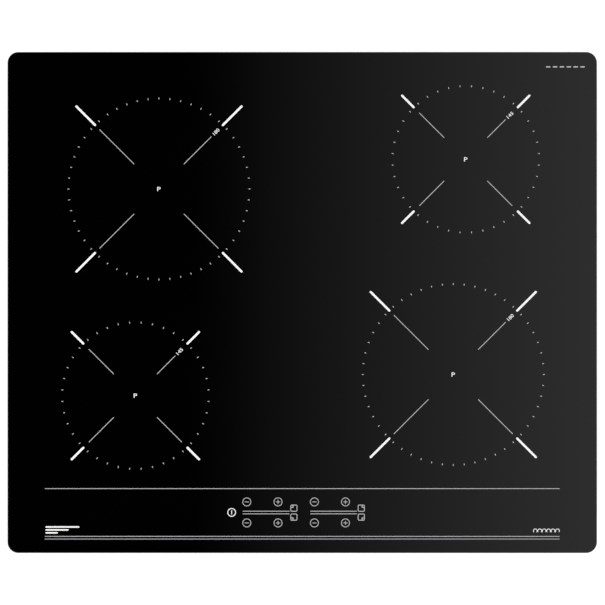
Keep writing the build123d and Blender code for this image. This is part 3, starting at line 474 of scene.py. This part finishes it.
key_radius, key_line, sign_half = 4.1 * MM, 0.67 * MM, 1.8 * MM
key_rows = (-202.9 * MM, -224.3 * MM)
key_blocks = (
    dict(minus=-56.4, plus=-24.6, rules=(-60.2, -13.2), signs=-8.5, outer_side=-1),
    dict(minus=12.4, plus=44.0, rules=(8.6, 55.4), signs=60.1, outer_side=1),
)
rule_rows, sign_rows = (-212.4 * MM, -215.05 * MM), ((-209.3 * MM, 1), (-218.4 * MM, -1))
zone_sign, sign_line, sign_corner, corner_box = 7.1 * MM, 0.75 * MM, 1.5 * MM, (1.55 * MM, 2.4 * MM)
keys, rules, signs = bmesh.new(), bmesh.new(), bmesh.new()
for block in key_blocks:
    for y in key_rows:
        for x in (block["minus"] * MM, block["plus"] * MM):
            ring(keys, (x, y), key_radius, key_line)
            stroke(keys, (x - sign_half, y), (x + sign_half, y), key_line)
        x = block["plus"] * MM
        for end in (-1, 1):
            stroke(keys, (x, y + end * sign_half), (x, y + end * key_line), key_line)
    for y in rule_rows:
        stroke(rules, (block["rules"][0] * MM, y), (block["rules"][1] * MM, y), key_line)
    x, side = block["signs"] * MM, block["outer_side"]
    for y, end in sign_rows:
        insets = (2 * sign_line, 0)
        outline_band(signs, *[rounded_square((x, y), zone_sign - i, sign_corner - i / 2) for i in insets])
        inner_half = zone_sign / 2 - sign_line
        corner_x, corner_y = x + side * inner_half, y + end * inner_half
        box_edges = []
        for reach in corner_box:
            edge_x, edge_y = corner_x - side * reach, corner_y - end * reach
            box_edges.append([(corner_x, edge_y), (edge_x, edge_y), (edge_x, corner_y)])
        outline_band(signs, *box_edges, closed=False)
piece("key_signs", keys, grey_enamel)
piece("key_rules", rules, grey_enamel)
piece("zone_signs", signs, grey_enamel)

power_key = (-71.8 * MM, -213.6 * MM)
power_radius, power_line, power_half = 3.95 * MM, 0.82 * MM, 1.7 * MM
power = bmesh.new()
ring(power, power_key, power_radius, power_line)
x, y = power_key
stroke(power, (x, y - power_half), (x, y + power_half), power_line)
piece("power_sign", power, white_enamel)


# ---- Corner marks --------------------------------------------
# Plain signs in place of names: a row of coil loops, the usual sign for induction, at the front right, three
# strokes at the front left, and a row of dashes at the back right.
loop_radius, loop_line, loop_pitch, loop_steps = 1.95 * MM, 0.62 * MM, 4.5 * MM, 20
first_loop, past_half = (237.2 * MM, -232.4 * MM), 0.22 * math.pi
coil_sign = bmesh.new()
for loop in range(6):
    loop_centre = (first_loop[0] + loop * loop_pitch, first_loop[1])
    radii = (loop_radius - loop_line / 2, loop_radius + loop_line / 2)
    edges = [arc_points(loop_centre, r, -past_half, math.pi + past_half, loop_steps) for r in radii]
    outline_band(coil_sign, *edges, closed=False)
piece("coil_sign", coil_sign, white_enamel)
corner_strokes, rear_dashes = bmesh.new(), bmesh.new()
strokes_start, first_stroke_y, stroke_pitch, stroke_width = -260.6 * MM, -228.4 * MM, 3.0 * MM, 1.5 * MM
for row, stroke_end in enumerate((-227.5 * MM, -238.5 * MM, -249.5 * MM)):
    y = first_stroke_y - stroke_pitch * row
    stroke(corner_strokes, (strokes_start, y), (stroke_end, y), stroke_width)
first_dash_x, dash_y = 248.6 * MM, 239.8 * MM
dash_length, dash_width, dash_pitch = 3.4 * MM, 1.3 * MM, 7.0 * MM
for dash in range(6):
    x = first_dash_x + dash_pitch * dash
    stroke(rear_dashes, (x, dash_y), (x + dash_length, dash_y), dash_width)
piece("corner_strokes", corner_strokes, white_enamel)
piece("rear_dashes", rear_dashes, grey_enamel)


# ---- Worktop seal and bead -----------------------------------
# A self-adhesive strip of closed-cell foam under the glass, dark grey and dead matt, with cells that just
# show, and a bead of black silicone that bonds the frame to the glass, satin and a little uneven.
def closed_cell_foam(tree, place):
    """Foamed rubber, sliced into strip: dead matt, with small pale cells between darker, raised walls."""
    cells = node(tree, "ShaderNodeTexVoronoi", {"Vector": place, "Scale": features(0.7)})
    tones = {0: cells.outputs["Distance"], 6: colour("#323438"), 7: colour("#222326")}
    shade = node(tree, "ShaderNodeMix", tones, data_type="RGBA").outputs[2]
    walls = node(tree, "ShaderNodeBump", {"Height": cells.outputs["Distance"], "Distance": 0.12 * MM})
    return {"Base Color": shade, "Roughness": 0.95, "Normal": walls.outputs[0]}


def cured_silicone(dark, light):
    """Silicone that has set in place or been extruded: a satin skin over slow waves."""

    def recipe(tree, place):
        waves = node(tree, "ShaderNodeTexNoise", {"Vector": place, "Scale": features(5), "Detail": 2.0})
        tones = {0: waves.outputs[0], 6: colour(dark), 7: colour(light)}
        shade = node(tree, "ShaderNodeMix", tones, data_type="RGBA").outputs[2]
        skin = node(tree, "ShaderNodeBump", {"Height": waves.outputs[0], "Distance": 0.15 * MM})
        return {"Base Color": shade, "Roughness": 0.38, "IOR": 1.41, "Normal": skin.outputs[0]}

    return recipe


dress("worktop_gasket", surface("closed_cell_foam", closed_cell_foam))
dress("bond_bead", surface("black_cured_silicone", cured_silicone("#0e0f10", "#17181a")))


# ---- Frame, tray and case screws -----------------------------
# The tray is pressed, and the frame folded, from hot-dip galvanised sheet: grey, with crystals of different
# shades and gloss and fine rolling lines. The screws are plated with bright zinc.
def galvanised(dark, light, crystal_mm):
    """Hot-dip zinc on rolled steel: crystals of uneven shade and gloss, and fine lines along the sheet."""

    def recipe(tree, place):
        spangle = node(tree, "ShaderNodeTexVoronoi", {"Vector": place, "Scale": features(crystal_mm)})
        crystal = node(tree, "ShaderNodeSeparateXYZ", {0: spangle.outputs["Color"]}).outputs[0]
        haze = node(tree, "ShaderNodeTexNoise", {"Vector": place, "Scale": features(90), "Detail": 4.0})
        haze_share = 0.45
        blend = node(tree, "ShaderNodeMix", {0: haze_share, 2: crystal, 3: haze.outputs[0]}).outputs[0]
        tones = {0: blend, 6: colour(dark), 7: colour(light)}
        shade = node(tree, "ShaderNodeMix", tones, data_type="RGBA").outputs[2]
        gloss_range = {"Value": blend, "From Min": 0.2, "From Max": 0.8, "To Min": 0.32, "To Max": 0.5}
        gloss = node(tree, "ShaderNodeMapRange", gloss_range).outputs[0]
        stretch = (features(40), features(0.6), features(0.6))
        drawn_out = node(tree, "ShaderNodeMapping", {"Vector": place, "Scale": stretch}).outputs[0]
        lines = node(tree, "ShaderNodeTexNoise", {"Vector": drawn_out, "Scale": 1.0, "Detail": 2.0})
        scratches = {"Height": lines.outputs[0], "Distance": 0.02 * MM, "Strength": 0.6}
        relief = node(tree, "ShaderNodeBump", scratches).outputs[0]
        return {"Base Color": shade, "Metallic": 1.0, "Roughness": gloss, "Normal": relief}

    return recipe


def bright_zinc(tree, place):
    """Electroplated zinc: bright and cool, with a cloudy bloom in its gloss."""
    bloom = node(tree, "ShaderNodeTexNoise", {"Vector": place, "Scale": features(3), "Detail": 4.0})
    tones = {0: bloom.outputs[0], 6: colour("#b4b9bd"), 7: colour("#d3d6d6")}
    shade = node(tree, "ShaderNodeMix", tones, data_type="RGBA").outputs[2]
    gloss = node(tree, "ShaderNodeMapRange", {"Value": bloom.outputs[0], "To Min": 0.18, "To Max": 0.36})
    return {"Base Color": shade, "Metallic": 1.0, "Roughness": gloss.outputs[0]}


zinc_plate = surface("bright_zinc_plate", bright_zinc)
dress("support_frame", surface("fine_galvanised_sheet", galvanised("#a4a8ab", "#bfc3c5", 2)))
dress("base_tray", surface("galvanised_sheet", galvanised("#9ba0a4", "#c4c8ca", 5)))
dress("case_screws", zinc_plate)


# ---- Swing clamps --------------------------------------------
# Pan-head screws in rivet nuts, and stamped arms that swing out under the worktop. All are plated steel, and
# the arms keep the duller, rumbled look of small stampings.
rumbled_zinc = surface("rumbled_zinc_plate", galvanised("#a9a794", "#c9c6b0", 1.2))
dress("rivet_nuts", zinc_plate)
for zone in zone_pans:
    dress(f"clamp_screw_{zone}", zinc_plate)
    dress(f"clamp_arm_{zone}", rumbled_zinc)


# ---- Terminal box --------------------------------------------
# Black glass-filled polyamide with a spark-eroded texture: the housing, its swinging lid and the cord clamp.
# Inside is a block of pale polyamide with plated screws.
def moulded(dark, light, roughness, texture_mm=0.45, depth_mm=0.03):
    """Injection-moulded plastic: the mould's texture in gloss and relief, and faint flow marks in shade."""

    def recipe(tree, place):
        texture = {"Vector": place, "Scale": features(texture_mm), "Detail": 2.0}
        grain = node(tree, "ShaderNodeTexNoise", texture).outputs[0]
        flow = node(tree, "ShaderNodeTexNoise", {"Vector": place, "Scale": features(25), "Detail": 2.0})
        tones = {0: flow.outputs[0], 6: colour(dark), 7: colour(light)}
        shade = node(tree, "ShaderNodeMix", tones, data_type="RGBA").outputs[2]
        spread = 0.08
        gloss_range = {"Value": grain, "To Min": roughness - spread, "To Max": roughness + spread}
        gloss = node(tree, "ShaderNodeMapRange", gloss_range).outputs[0]
        relief = node(tree, "ShaderNodeBump", {"Height": grain, "Distance": depth_mm * MM}).outputs[0]
        return {"Base Color": shade, "Roughness": gloss, "IOR": 1.5, "Normal": relief}

    return recipe


black_polyamide = surface("black_moulded_polyamide", moulded("#141516", "#1d1e20", 0.52))
for name in ("terminal_housing", "terminal_lid", "cable_clamp"):
    dress(name, black_polyamide)
dress("terminal_block", surface("pale_moulded_polyamide", moulded("#d6d2c4", "#e2dfd3", 0.42)))
dress("terminal_screws", zinc_plate)


# ---- Coil deck -----------------------------------------------
# Folded from aluminium sheet in its mill finish, with long rolling lines. It carries the coils and shields
# the boards below them.
def mill_aluminium(dark, light, line_mm, roughness):
    """Rolled or extruded aluminium as it leaves the mill: lines along it in shade, gloss and relief."""

    def recipe(tree, place):
        stretch = (features(line_mm), features(60), features(line_mm))
        drawn_out = node(tree, "ShaderNodeMapping", {"Vector": place, "Scale": stretch}).outputs[0]
        lines = node(tree, "ShaderNodeTexNoise", {"Vector": drawn_out, "Scale": 1.0, "Detail": 5.0})
        tones = {0: lines.outputs[0], 6: colour(dark), 7: colour(light)}
        shade = node(tree, "ShaderNodeMix", tones, data_type="RGBA").outputs[2]
        spread = 0.1
        gloss_range = {"Value": lines.outputs[0], "To Min": roughness - spread, "To Max": roughness + spread}
        gloss = node(tree, "ShaderNodeMapRange", gloss_range).outputs[0]
        relief = node(tree, "ShaderNodeBump", {"Height": lines.outputs[0], "Distance": 0.02 * MM}).outputs[0]
        return {"Base Color": shade, "Metallic": 1.0, "Roughness": gloss, "Normal": relief}

    return recipe


dress("coil_deck", surface("rolled_aluminium", mill_aluminium("#b9bcbe", "#d8dadb", 0.8, 0.36)))


# ---- Coils ---------------------------------------------------
# A glass-filled carrier holds pressed ferrite bars below and a flat spiral of litz wire above, under a disc
# of mica. Three springs press each coil up against the glass, and a sensor on a silicone post reaches its
# middle.
def sintered_ferrite(tree, place):
    """Powder pressed and fired: dark grey, dull and a little pitted."""
    grain = node(tree, "ShaderNodeTexVoronoi", {"Vector": place, "Scale": features(0.5)})
    tones = {0: grain.outputs["Distance"], 6: colour("#3b3c40"), 7: colour("#2a2b2e")}
    shade = node(tree, "ShaderNodeMix", tones, data_type="RGBA").outputs[2]
    pits = node(tree, "ShaderNodeBump", {"Height": grain.outputs["Distance"], "Distance": 0.04 * MM})
    return {"Base Color": shade, "Roughness": 0.55, "Normal": pits.outputs[0]}


def pressed_mica(tree, place):
    """Flakes pressed with resin: golden, each with its own shade and gloss, and drawn coarse to show."""
    flakes = node(tree, "ShaderNodeTexVoronoi", {"Vector": place, "Scale": features(3.5)})
    flake = node(tree, "ShaderNodeSeparateXYZ", {0: flakes.outputs["Color"]}).outputs[0]
    cloud = node(tree, "ShaderNodeTexNoise", {"Vector": place, "Scale": features(18), "Detail": 4.0})
    cloud_share = 0.5
    blend = node(tree, "ShaderNodeMix", {0: cloud_share, 2: flake, 3: cloud.outputs[0]})
    tones = {0: blend.outputs[0], 6: colour("#a58f63"), 7: colour("#d9c69b")}
    shade = node(tree, "ShaderNodeMix", tones, data_type="RGBA").outputs[2]
    gloss = node(tree, "ShaderNodeMapRange", {"Value": flake, "To Min": 0.25, "To Max": 0.55})
    return {"Base Color": shade, "Roughness": gloss.outputs[0]}


def twisted_strands(dark, light, strands, lay_mm, metallic, roughness):
    """Strands laid round a wire, coarser than real so that they show: a painted highlight on top of each
    strand and painted shade between them.
    """

    def recipe(tree, place):
        along = node(tree, "ShaderNodeAttribute", attribute_name="wire_along").outputs["Fac"]
        around = node(tree, "ShaderNodeAttribute", attribute_name="wire_around").outputs["Fac"]
        laid = node(tree, "ShaderNodeMath", {0: along, 1: features(lay_mm)}, operation="MULTIPLY")
        counted = node(tree, "ShaderNodeMath", {0: around, 1: strands}, operation="MULTIPLY")
        passed = node(tree, "ShaderNodeMath", {0: laid.outputs[0], 1: counted.outputs[0]}, operation="ADD")
        turned = node(tree, "ShaderNodeMath", {0: passed.outputs[0], 1: math.tau}, operation="MULTIPLY")
        wave = node(tree, "ShaderNodeMath", {0: turned.outputs[0]}, operation="SINE")
        strand_range = {"Value": wave.outputs[0], "From Min": -1.0, "From Max": 1.0}
        crest_relief_and_painted_light = node(tree, "ShaderNodeMapRange", strand_range)
        # The colour follows the relief: a painted highlight on the crests and painted shade in the grooves.
        # With one strand, one side of the wire is painted lighter and the other darker.
        tones = {0: crest_relief_and_painted_light.outputs[0], 6: colour(dark), 7: colour(light)}
        shade = node(tree, "ShaderNodeMix", tones, data_type="RGBA").outputs[2]
        relief = node(tree, "ShaderNodeBump", {"Height": crest_relief_and_painted_light.outputs[0], "Distance": 0.2 * MM}).outputs[0]
        return {"Base Color": shade, "Metallic": metallic, "Roughness": roughness, "Normal": relief}

    return recipe


def wire(tree, curve, radius, sides):
    """A round wire along a curve, with closed ends, that keeps how far along and around it each point is."""
    measured = node(tree, "GeometryNodeSplineParameter")
    upright = node(tree, "GeometryNodeSetCurveNormal", {"Curve": curve}, mode="Z_UP")
    kept = dict(data_type="FLOAT", domain="POINT")
    along = {"Geometry": upright.outputs[0], "Name": "wire_along", "Value": measured.outputs["Length"]}
    line = node(tree, "GeometryNodeStoreNamedAttribute", along, **kept)
    section = node(tree, "GeometryNodeCurvePrimitiveCircle", {"Resolution": sides, "Radius": radius})
    around = {"Geometry": section.outputs[0], "Name": "wire_around", "Value": measured.outputs["Factor"]}
    profile = node(tree, "GeometryNodeStoreNamedAttribute", around, **kept)
    sweep = {"Curve": line.outputs[0], "Profile Curve": profile.outputs[0], "Fill Caps": True}
    swept = node(tree, "GeometryNodeCurveToMesh", sweep)
    return node(tree, "GeometryNodeSetShadeSmooth", {"Geometry": swept.outputs[0]}).outputs[0]


spiral_tree, given = geometry_tree(
    "flat_spiral",
    centre="Vector",
    inner_radius="Float",
    outer_radius="Float",
    turns="Float",
    wire_radius="Float",
    winding="Material",
)
spiral_shape = {
    "Resolution": 56,
    "Rotations": given["turns"],
    "Start Radius": given["inner_radius"],
    "End Radius": given["outer_radius"],
    "Height": 0.0,
}
spiral = node(spiral_tree, "GeometryNodeCurveSpiral", spiral_shape)
flat_winding = wire(spiral_tree, spiral.outputs[0], given["wire_radius"], 10)
deliver(spiral_tree, flat_winding, given["winding"], given["centre"])

spring_tree, given = geometry_tree(
    "springs",
    feet="Geometry",
    coil_radius="Float",
    wire_radius="Float",
    height="Float",
    turns="Float",
    steel="Material",
)
wire_width = node(spring_tree, "ShaderNodeMath", {0: given["wire_radius"], 1: 2.0}, operation="MULTIPLY")
height_and_wire = {0: given["height"], 1: wire_width.outputs[0]}
rise = node(spring_tree, "ShaderNodeMath", height_and_wire, operation="SUBTRACT")
helix_shape = {
    "Resolution": 24,
    "Rotations": given["turns"],
    "Start Radius": given["coil_radius"],
    "End Radius": given["coil_radius"],
    "Height": rise.outputs[0],
}
helix = node(spring_tree, "GeometryNodeCurveSpiral", helix_shape)
spring = wire(spring_tree, helix.outputs[0], given["wire_radius"], 8)
lift = node(spring_tree, "ShaderNodeCombineXYZ", {"Z": given["wire_radius"]})
standing = {"Geometry": spring, "Translation": lift.outputs[0]}
lifted = node(spring_tree, "GeometryNodeTransform", standing)
spring_places = {"Points": given["feet"], "Instance": lifted.outputs[0]}
springs = node(spring_tree, "GeometryNodeInstanceOnPoints", spring_places)
deliver(spring_tree, springs.outputs[0], given["steel"])

# The two copper tones are a painted highlight on each strand's crest and painted shade between the strands.
litz_copper = surface("litz_copper", twisted_strands("#8f4a1f", "#d98c4e", 7, 14, 0.85, 0.34))
spring_wire = surface("drawn_spring_wire", galvanised("#8e8f8e", "#a9aaa8", 1))
glass_filled_black = surface("black_glass_filled_moulding", moulded("#26272a", "#303134", 0.58, 0.8))
ferrite = surface("sintered_ferrite", sintered_ferrite)
mica = surface("pressed_mica", pressed_mica)
litz_clearance, winding_inner_radius, float_travel = 0.06 * MM, 25.0 * MM, 1.5 * MM
lug_inset, first_lug = 4.5 * MM, math.radians(22.5)
spring_radius, spring_wire_radius, spring_turns = 4.15 * MM, 0.45 * MM, 6.5
for zone, pan in zone_pans.items():
    dress(f"coil_carrier_{zone}", glass_filled_black)
    dress(f"ferrite_bars_{zone}", ferrite)
    dress(f"mica_disc_{zone}", mica)
    low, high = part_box(f"coil_winding_{zone}")
    litz_radius = (high.z - low.z) / 2 - litz_clearance
    outer_radius = (high.x - low.x) / 2 - litz_radius
    inner_radius = winding_inner_radius + litz_radius
    winding = grow(
        f"litz_spiral_{zone}",
        spiral_tree,
        f"coil_{zone}",
        centre=(low + high) / 2,
        inner_radius=inner_radius,
        outer_radius=outer_radius,
        turns=(outer_radius - inner_radius) / (2 * litz_radius + litz_clearance),
        wire_radius=litz_radius,
        winding=litz_copper,
    )
    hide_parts(f"coil_winding_{zone}")
    hub = middle_of(f"mica_disc_{zone}")
    low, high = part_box(f"coil_springs_{zone}")
    height = high.z - low.z
    lugs = arc_points(hub, pan * MM / 2 - lug_inset, first_lug, first_lug + math.tau, 3)[:-1]
    spring_set = grow(
        f"spring_coils_{zone}",
        spring_tree,
        "root",
        [(x, y, low.z) for x, y in lugs],
        coil_radius=spring_radius,
        wire_radius=spring_wire_radius,
        height=height,
        turns=spring_turns,
        steel=spring_wire,
    )
    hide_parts(f"coil_springs_{zone}")
    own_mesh(spring_set)
dress("temperature_sensors", surface("grey_cured_silicone", cured_silicone("#7a7d80", "#8c8f91")))


# ---- Power boards --------------------------------------------
# Two glass-fibre laminates under a green solder mask, on nylon standoffs. Each carries transistors under a
# finned heat sink, film capacitors, two filter chokes, relays and rows of small surface-mounted parts.
def solder_mask(tree, place):
    """Green lacquer, lighter where copper runs under it: blocks of tracks, some one way, some the other."""
    even_split, track_edge = 0.5, 0.55  # on patterns that run from 0 to 1
    area = {"Vector": place, "Scale": features(22)}
    blocks = node(tree, "ShaderNodeTexVoronoi", area, distance="CHEBYCHEV")
    block = node(tree, "ShaderNodeSeparateXYZ", {0: blocks.outputs["Color"]})
    one_way = node(tree, "ShaderNodeMath", {0: block.outputs[0], 1: even_split}, operation="GREATER_THAN")
    pitch = {"Vector": place, "Scale": features(9)}  # a wave texture's bands come 0.314 of this apart
    along_x, along_y = (node(tree, "ShaderNodeTexWave", pitch, bands_direction=way) for way in ("X", "Y"))
    ways = {0: one_way.outputs[0], 2: along_x.outputs["Fac"], 3: along_y.outputs["Fac"]}
    wave = node(tree, "ShaderNodeMix", ways).outputs[0]
    track = node(tree, "ShaderNodeMath", {0: wave, 1: track_edge}, operation="GREATER_THAN").outputs[0]
    tones = {0: track, 6: colour("#134527"), 7: colour("#1f6a3d")}
    shade = node(tree, "ShaderNodeMix", tones, data_type="RGBA").outputs[2]
    edges = node(tree, "ShaderNodeBump", {"Height": track, "Distance": 0.03 * MM})
    return {"Base Color": shade, "Roughness": 0.3, "Coat Weight": 0.4, "Normal": edges.outputs[0]}


green_laminate = surface("green_solder_masked_laminate", solder_mask)
dress("power_boards", green_laminate)
dress("board_standoffs", surface("natural_nylon", moulded("#d9d6ca", "#e6e3d9", 0.4, 0.3, 0.01)))
dress("power_transistors", surface("black_moulded_epoxy", moulded("#101112", "#191a1b", 0.42, 0.25, 0.01)))
dress("heatsinks", surface("extruded_aluminium", mill_aluminium("#b4b6b8", "#d2d4d5", 0.35, 0.32)))
dress("film_capacitors", surface("yellow_capacitor_case", moulded("#b98d22", "#cda034", 0.3, 0.6, 0.01)))
dress("relays", surface("black_relay_case", moulded("#17181a", "#222326", 0.26, 0.6, 0.01)))

width_share, height_share = 0.6, 0.36  # of a small part's length
parts_tree, given = geometry_tree(
    "rows_of_small_parts",
    centre="Vector",
    width="Float",
    depth="Float",
    columns="Int",
    rows="Int",
    part_length="Float",
    left_out="Float",
    seed="Int",
    casing="Material",
)
grid_shape = {
    "Size X": given["width"],
    "Size Y": given["depth"],
    "Vertices X": given["columns"],
    "Vertices Y": given["rows"],
}
part_grid = node(parts_tree, "GeometryNodeMeshGrid", grid_shape)
draw = {"Probability": given["left_out"], "Seed": given["seed"]}
chance = node(parts_tree, "FunctionNodeRandomValue", draw, data_type="BOOLEAN")
left_out = {"Geometry": part_grid.outputs[0], "Selection": chance.outputs[3]}
kept_places = node(parts_tree, "GeometryNodeDeleteGeometry", left_out)
part_width, part_height, part_middle = (
    node(parts_tree, "ShaderNodeMath", {0: given["part_length"], 1: share}, operation="MULTIPLY")
    for share in (width_share, height_share, height_share / 2)
)
part_sides = {"X": given["part_length"], "Y": part_width.outputs[0], "Z": part_height.outputs[0]}
part_size = node(parts_tree, "ShaderNodeCombineXYZ", part_sides)
small_part = node(parts_tree, "GeometryNodeMeshCube", {"Size": part_size.outputs[0]})
raise_by = node(parts_tree, "ShaderNodeCombineXYZ", {"Z": part_middle.outputs[0]})
on_the_board = {"Geometry": small_part.outputs[0], "Translation": raise_by.outputs[0]}
standing_part = node(parts_tree, "GeometryNodeTransform", on_the_board)
next_seed = node(parts_tree, "ShaderNodeMath", {0: given["seed"], 1: 1.0}, operation="ADD")
no_or_one = {4: 0, 5: 1, "Seed": next_seed.outputs[0]}
turned = node(parts_tree, "FunctionNodeRandomValue", no_or_one, data_type="INT")
quarter = {0: turned.outputs[2], 1: math.pi / 2}
quarter_turn = node(parts_tree, "ShaderNodeMath", quarter, operation="MULTIPLY")
part_turn = node(parts_tree, "ShaderNodeCombineXYZ", {"Z": quarter_turn.outputs[0]})
part_copies = {
    "Points": kept_places.outputs[0],
    "Instance": standing_part.outputs[0],
    "Rotation": part_turn.outputs[0],
}
placed_parts = node(parts_tree, "GeometryNodeInstanceOnPoints", part_copies)
deliver(parts_tree, placed_parts.outputs[0], given["casing"], given["centre"])

boards_low, boards_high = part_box("power_boards")
resistor_black = surface("thick_film_resistor", moulded("#1c1d20", "#2b2c30", 0.35, 0.3, 0.01))
capacitor_tan = surface("ceramic_chip_capacitor", moulded("#8a6a48", "#a5835c", 0.45, 0.3, 0.01))
free_middle, free_side = Vector((118 * MM, boards_low.y + 52 * MM)), 78 * MM
for side, name in ((-1, "left"), (1, "right")):
    for kind, made, length, shift, seed in (
        ("resistors", resistor_black, 2.0 * MM, 0.0, 3),
        ("chip_capacitors", capacitor_tan, 1.6 * MM, 2.6 * MM, 8),
    ):
        grow(
            f"{kind}_{name}",
            parts_tree,
            "root",
            centre=(side * free_middle.x + shift, free_middle.y + shift, boards_high.z),
            width=free_side,
            depth=free_side,
            columns=12,
            rows=12,
            part_length=length,
            left_out=0.45,
            seed=seed + side,
            casing=made,
        )

choke_tree, given = geometry_tree(
    "wound_toroid",
    centre="Vector",
    loops="Int",
    gap="Int",
    ring_radius="Float",
    loop_width="Float",
    loop_height="Float",
    wire_radius="Float",
    winding="Material",
)
corner_share = 0.28  # of the loop's width
loop_sides = {0: given["loop_width"], 1: given["loop_height"]}
loop_square = node(choke_tree, "GeometryNodeCurvePrimitiveQuadrilateral", loop_sides)
corner = node(choke_tree, "ShaderNodeMath", {0: given["loop_width"], 1: corner_share}, operation="MULTIPLY")
rounding = {"Curve": loop_square.outputs[0], "Count": 3, "Radius": corner.outputs[0]}
round_loop = node(choke_tree, "GeometryNodeFilletCurve", rounding, mode="POLY")
tilt = {"Geometry": round_loop.outputs[0], "Rotation": (math.pi / 2, 0, 0)}
upright_loop = node(choke_tree, "GeometryNodeTransform", tilt)
half_loops = node(choke_tree, "ShaderNodeMath", {0: given["loops"], 1: 2.0}, operation="DIVIDE")
index = node(choke_tree, "GeometryNodeInputIndex").outputs[0]
loop_number = node(choke_tree, "ShaderNodeMath", {0: index, 1: half_loops.outputs[0]}, operation="MODULO")
gap_test = {0: loop_number.outputs[0], 1: given["gap"]}
in_gap = node(choke_tree, "ShaderNodeMath", gap_test, operation="LESS_THAN")
loop_circle = {"Vertices": given["loops"], "Radius": given["ring_radius"]}
loop_ring = node(choke_tree, "GeometryNodeMeshCircle", loop_circle)
gaps = {"Geometry": loop_ring.outputs[0], "Selection": in_gap.outputs[0]}
wound_places = node(choke_tree, "GeometryNodeDeleteGeometry", gaps)
loop_wire = wire(choke_tree, upright_loop.outputs[0], given["wire_radius"], 8)
loops = copies_round_a_ring(choke_tree, wound_places.outputs[0], loop_wire)
deliver(choke_tree, loops, given["winding"], given["centre"])

choke_core = bmesh.new()
choke_low, choke_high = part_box("filter_chokes")
choke_radius, choke_bore, core_wall, choke_wire = 18 * MM, 8 * MM, 1.5 * MM, 0.65 * MM
inner, outer = choke_bore + core_wall, choke_radius - core_wall
foot, top = choke_low.z + core_wall, choke_high.z - core_wall
core_outline = ((inner, foot), (outer, foot), (outer, top), (inner, top))
# With one strand, the two copper tones paint one side of the wire lighter, as a highlight, and the other
# darker, as shade.
enamelled_wire = surface("enamelled_copper_wire", twisted_strands("#a0521f", "#b8632a", 1, 400, 0.9, 0.24))
choke_places = [
    (x, y)
    for x in (choke_low.x + choke_radius, choke_high.x - choke_radius)
    for y in (choke_low.y + choke_radius, choke_high.y - choke_radius)
]
core_steps = 48
for number, place in enumerate(choke_places, 1):
    rows = [
        [choke_core.verts.new((*spot, z)) for spot in arc_points(place, r, 0, math.tau, core_steps)[:-1]]
        for r, z in core_outline
    ]
    for a, b in zip(rows, rows[1:] + rows[:1]):
        for i in range(core_steps):
            choke_core.faces.new((a[i - 1], b[i - 1], b[i], a[i]))
    grow(
            f"choke_winding_{number}",
            choke_tree,
            "root",
            centre=(*place, (choke_low.z + choke_high.z) / 2),
            loops=36,
            gap=3,
            ring_radius=(choke_radius + choke_bore) / 2,
            loop_width=choke_radius - choke_bore - 2 * choke_wire,
            loop_height=choke_high.z - choke_low.z - 2 * choke_wire,
            wire_radius=choke_wire,
            winding=enamelled_wire,
        )
coated_core = surface("green_coated_core", moulded("#2e4a3c", "#3a5c4a", 0.4, 0.5))
cores = piece("choke_cores", choke_core, coated_core)
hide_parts("filter_chokes")


# ---- Duct and blower -----------------------------------------
# A moulded duct leads the air of a radial blower over the heat sinks. The casing and the duct are dark
# polypropylene, the wheel is black polyamide, and the motor's laminations are lacquered.
dark_polypropylene = surface("dark_moulded_polypropylene", moulded("#2a2b2e", "#37383c", 0.5, 0.6))
for name in ("air_duct", "blower_housing", "blower_cover"):
    dress(name, dark_polypropylene)
dress("blower_rotor", black_polyamide)
dress("blower_motor", surface("lacquered_laminations", galvanised("#3a3b3f", "#55565a", 0.8)))


# ---- Touch control -------------------------------------------
# A white holder clips the touch board up against the glass. A spring stands under each key and carries its
# touch to the board. Two numeric displays, which are off and dark, sit close under the glass.
dress("touch_holder", surface("white_moulded_polyamide", moulded("#d5d4cf", "#e1e0dc", 0.45)))
dress("touch_board", green_laminate)
dress("zone_displays", surface("smoked_display_window", moulded("#1c0f10", "#271416", 0.18, 1.0, 0.005)))
low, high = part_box("touch_springs")
key_columns = [block[sign] * MM for block in key_blocks for sign in ("minus", "plus")]
key_places = [power_key] + [(x, y) for x in key_columns for y in key_rows]
key_springs = grow(
    "key_springs",
    spring_tree,
    "root",
    [(x, y, low.z) for x, y in key_places],
    coil_radius=4.0 * MM,
    wire_radius=0.3 * MM,
    height=high.z - low.z,
    turns=5.0,
    steel=spring_wire,
)
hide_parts("touch_springs")


# ---- Wiring --------------------------------------------------
# Silicone-insulated leads run from the terminal block to the boards and from the boards to the coils, and a
# flat grey ribbon joins the touch board to a power board.
def ribbon(tree, place):
    """Round cores side by side with grooves between them, drawn coarser than real, to show: a painted
    highlight on the cores and painted shade in the grooves.
    """
    pitch = {"Vector": place, "Scale": features(20)}  # a wave texture's bands come 0.314 of this apart
    cores = node(tree, "ShaderNodeTexWave", pitch, bands_direction="X")
    # The grey is lighter on the raised cores and darker in the grooves: a painted highlight and painted shade
    # over a plain grey ribbon.
    tones = {0: cores.outputs["Fac"], 6: colour("#6d7073"), 7: colour("#9fa2a5")}
    shade = node(tree, "ShaderNodeMix", tones, data_type="RGBA").outputs[2]
    grooves = node(tree, "ShaderNodeBump", {"Height": cores.outputs["Fac"], "Distance": 0.2 * MM})
    return {"Base Color": shade, "Roughness": 0.5, "Normal": grooves.outputs[0]}


dress("internal_wiring", surface("red_silicone_insulation", cured_silicone("#a02a20", "#b63528")))
dress("control_cable", surface("grey_ribbon_cable", ribbon))

low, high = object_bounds()
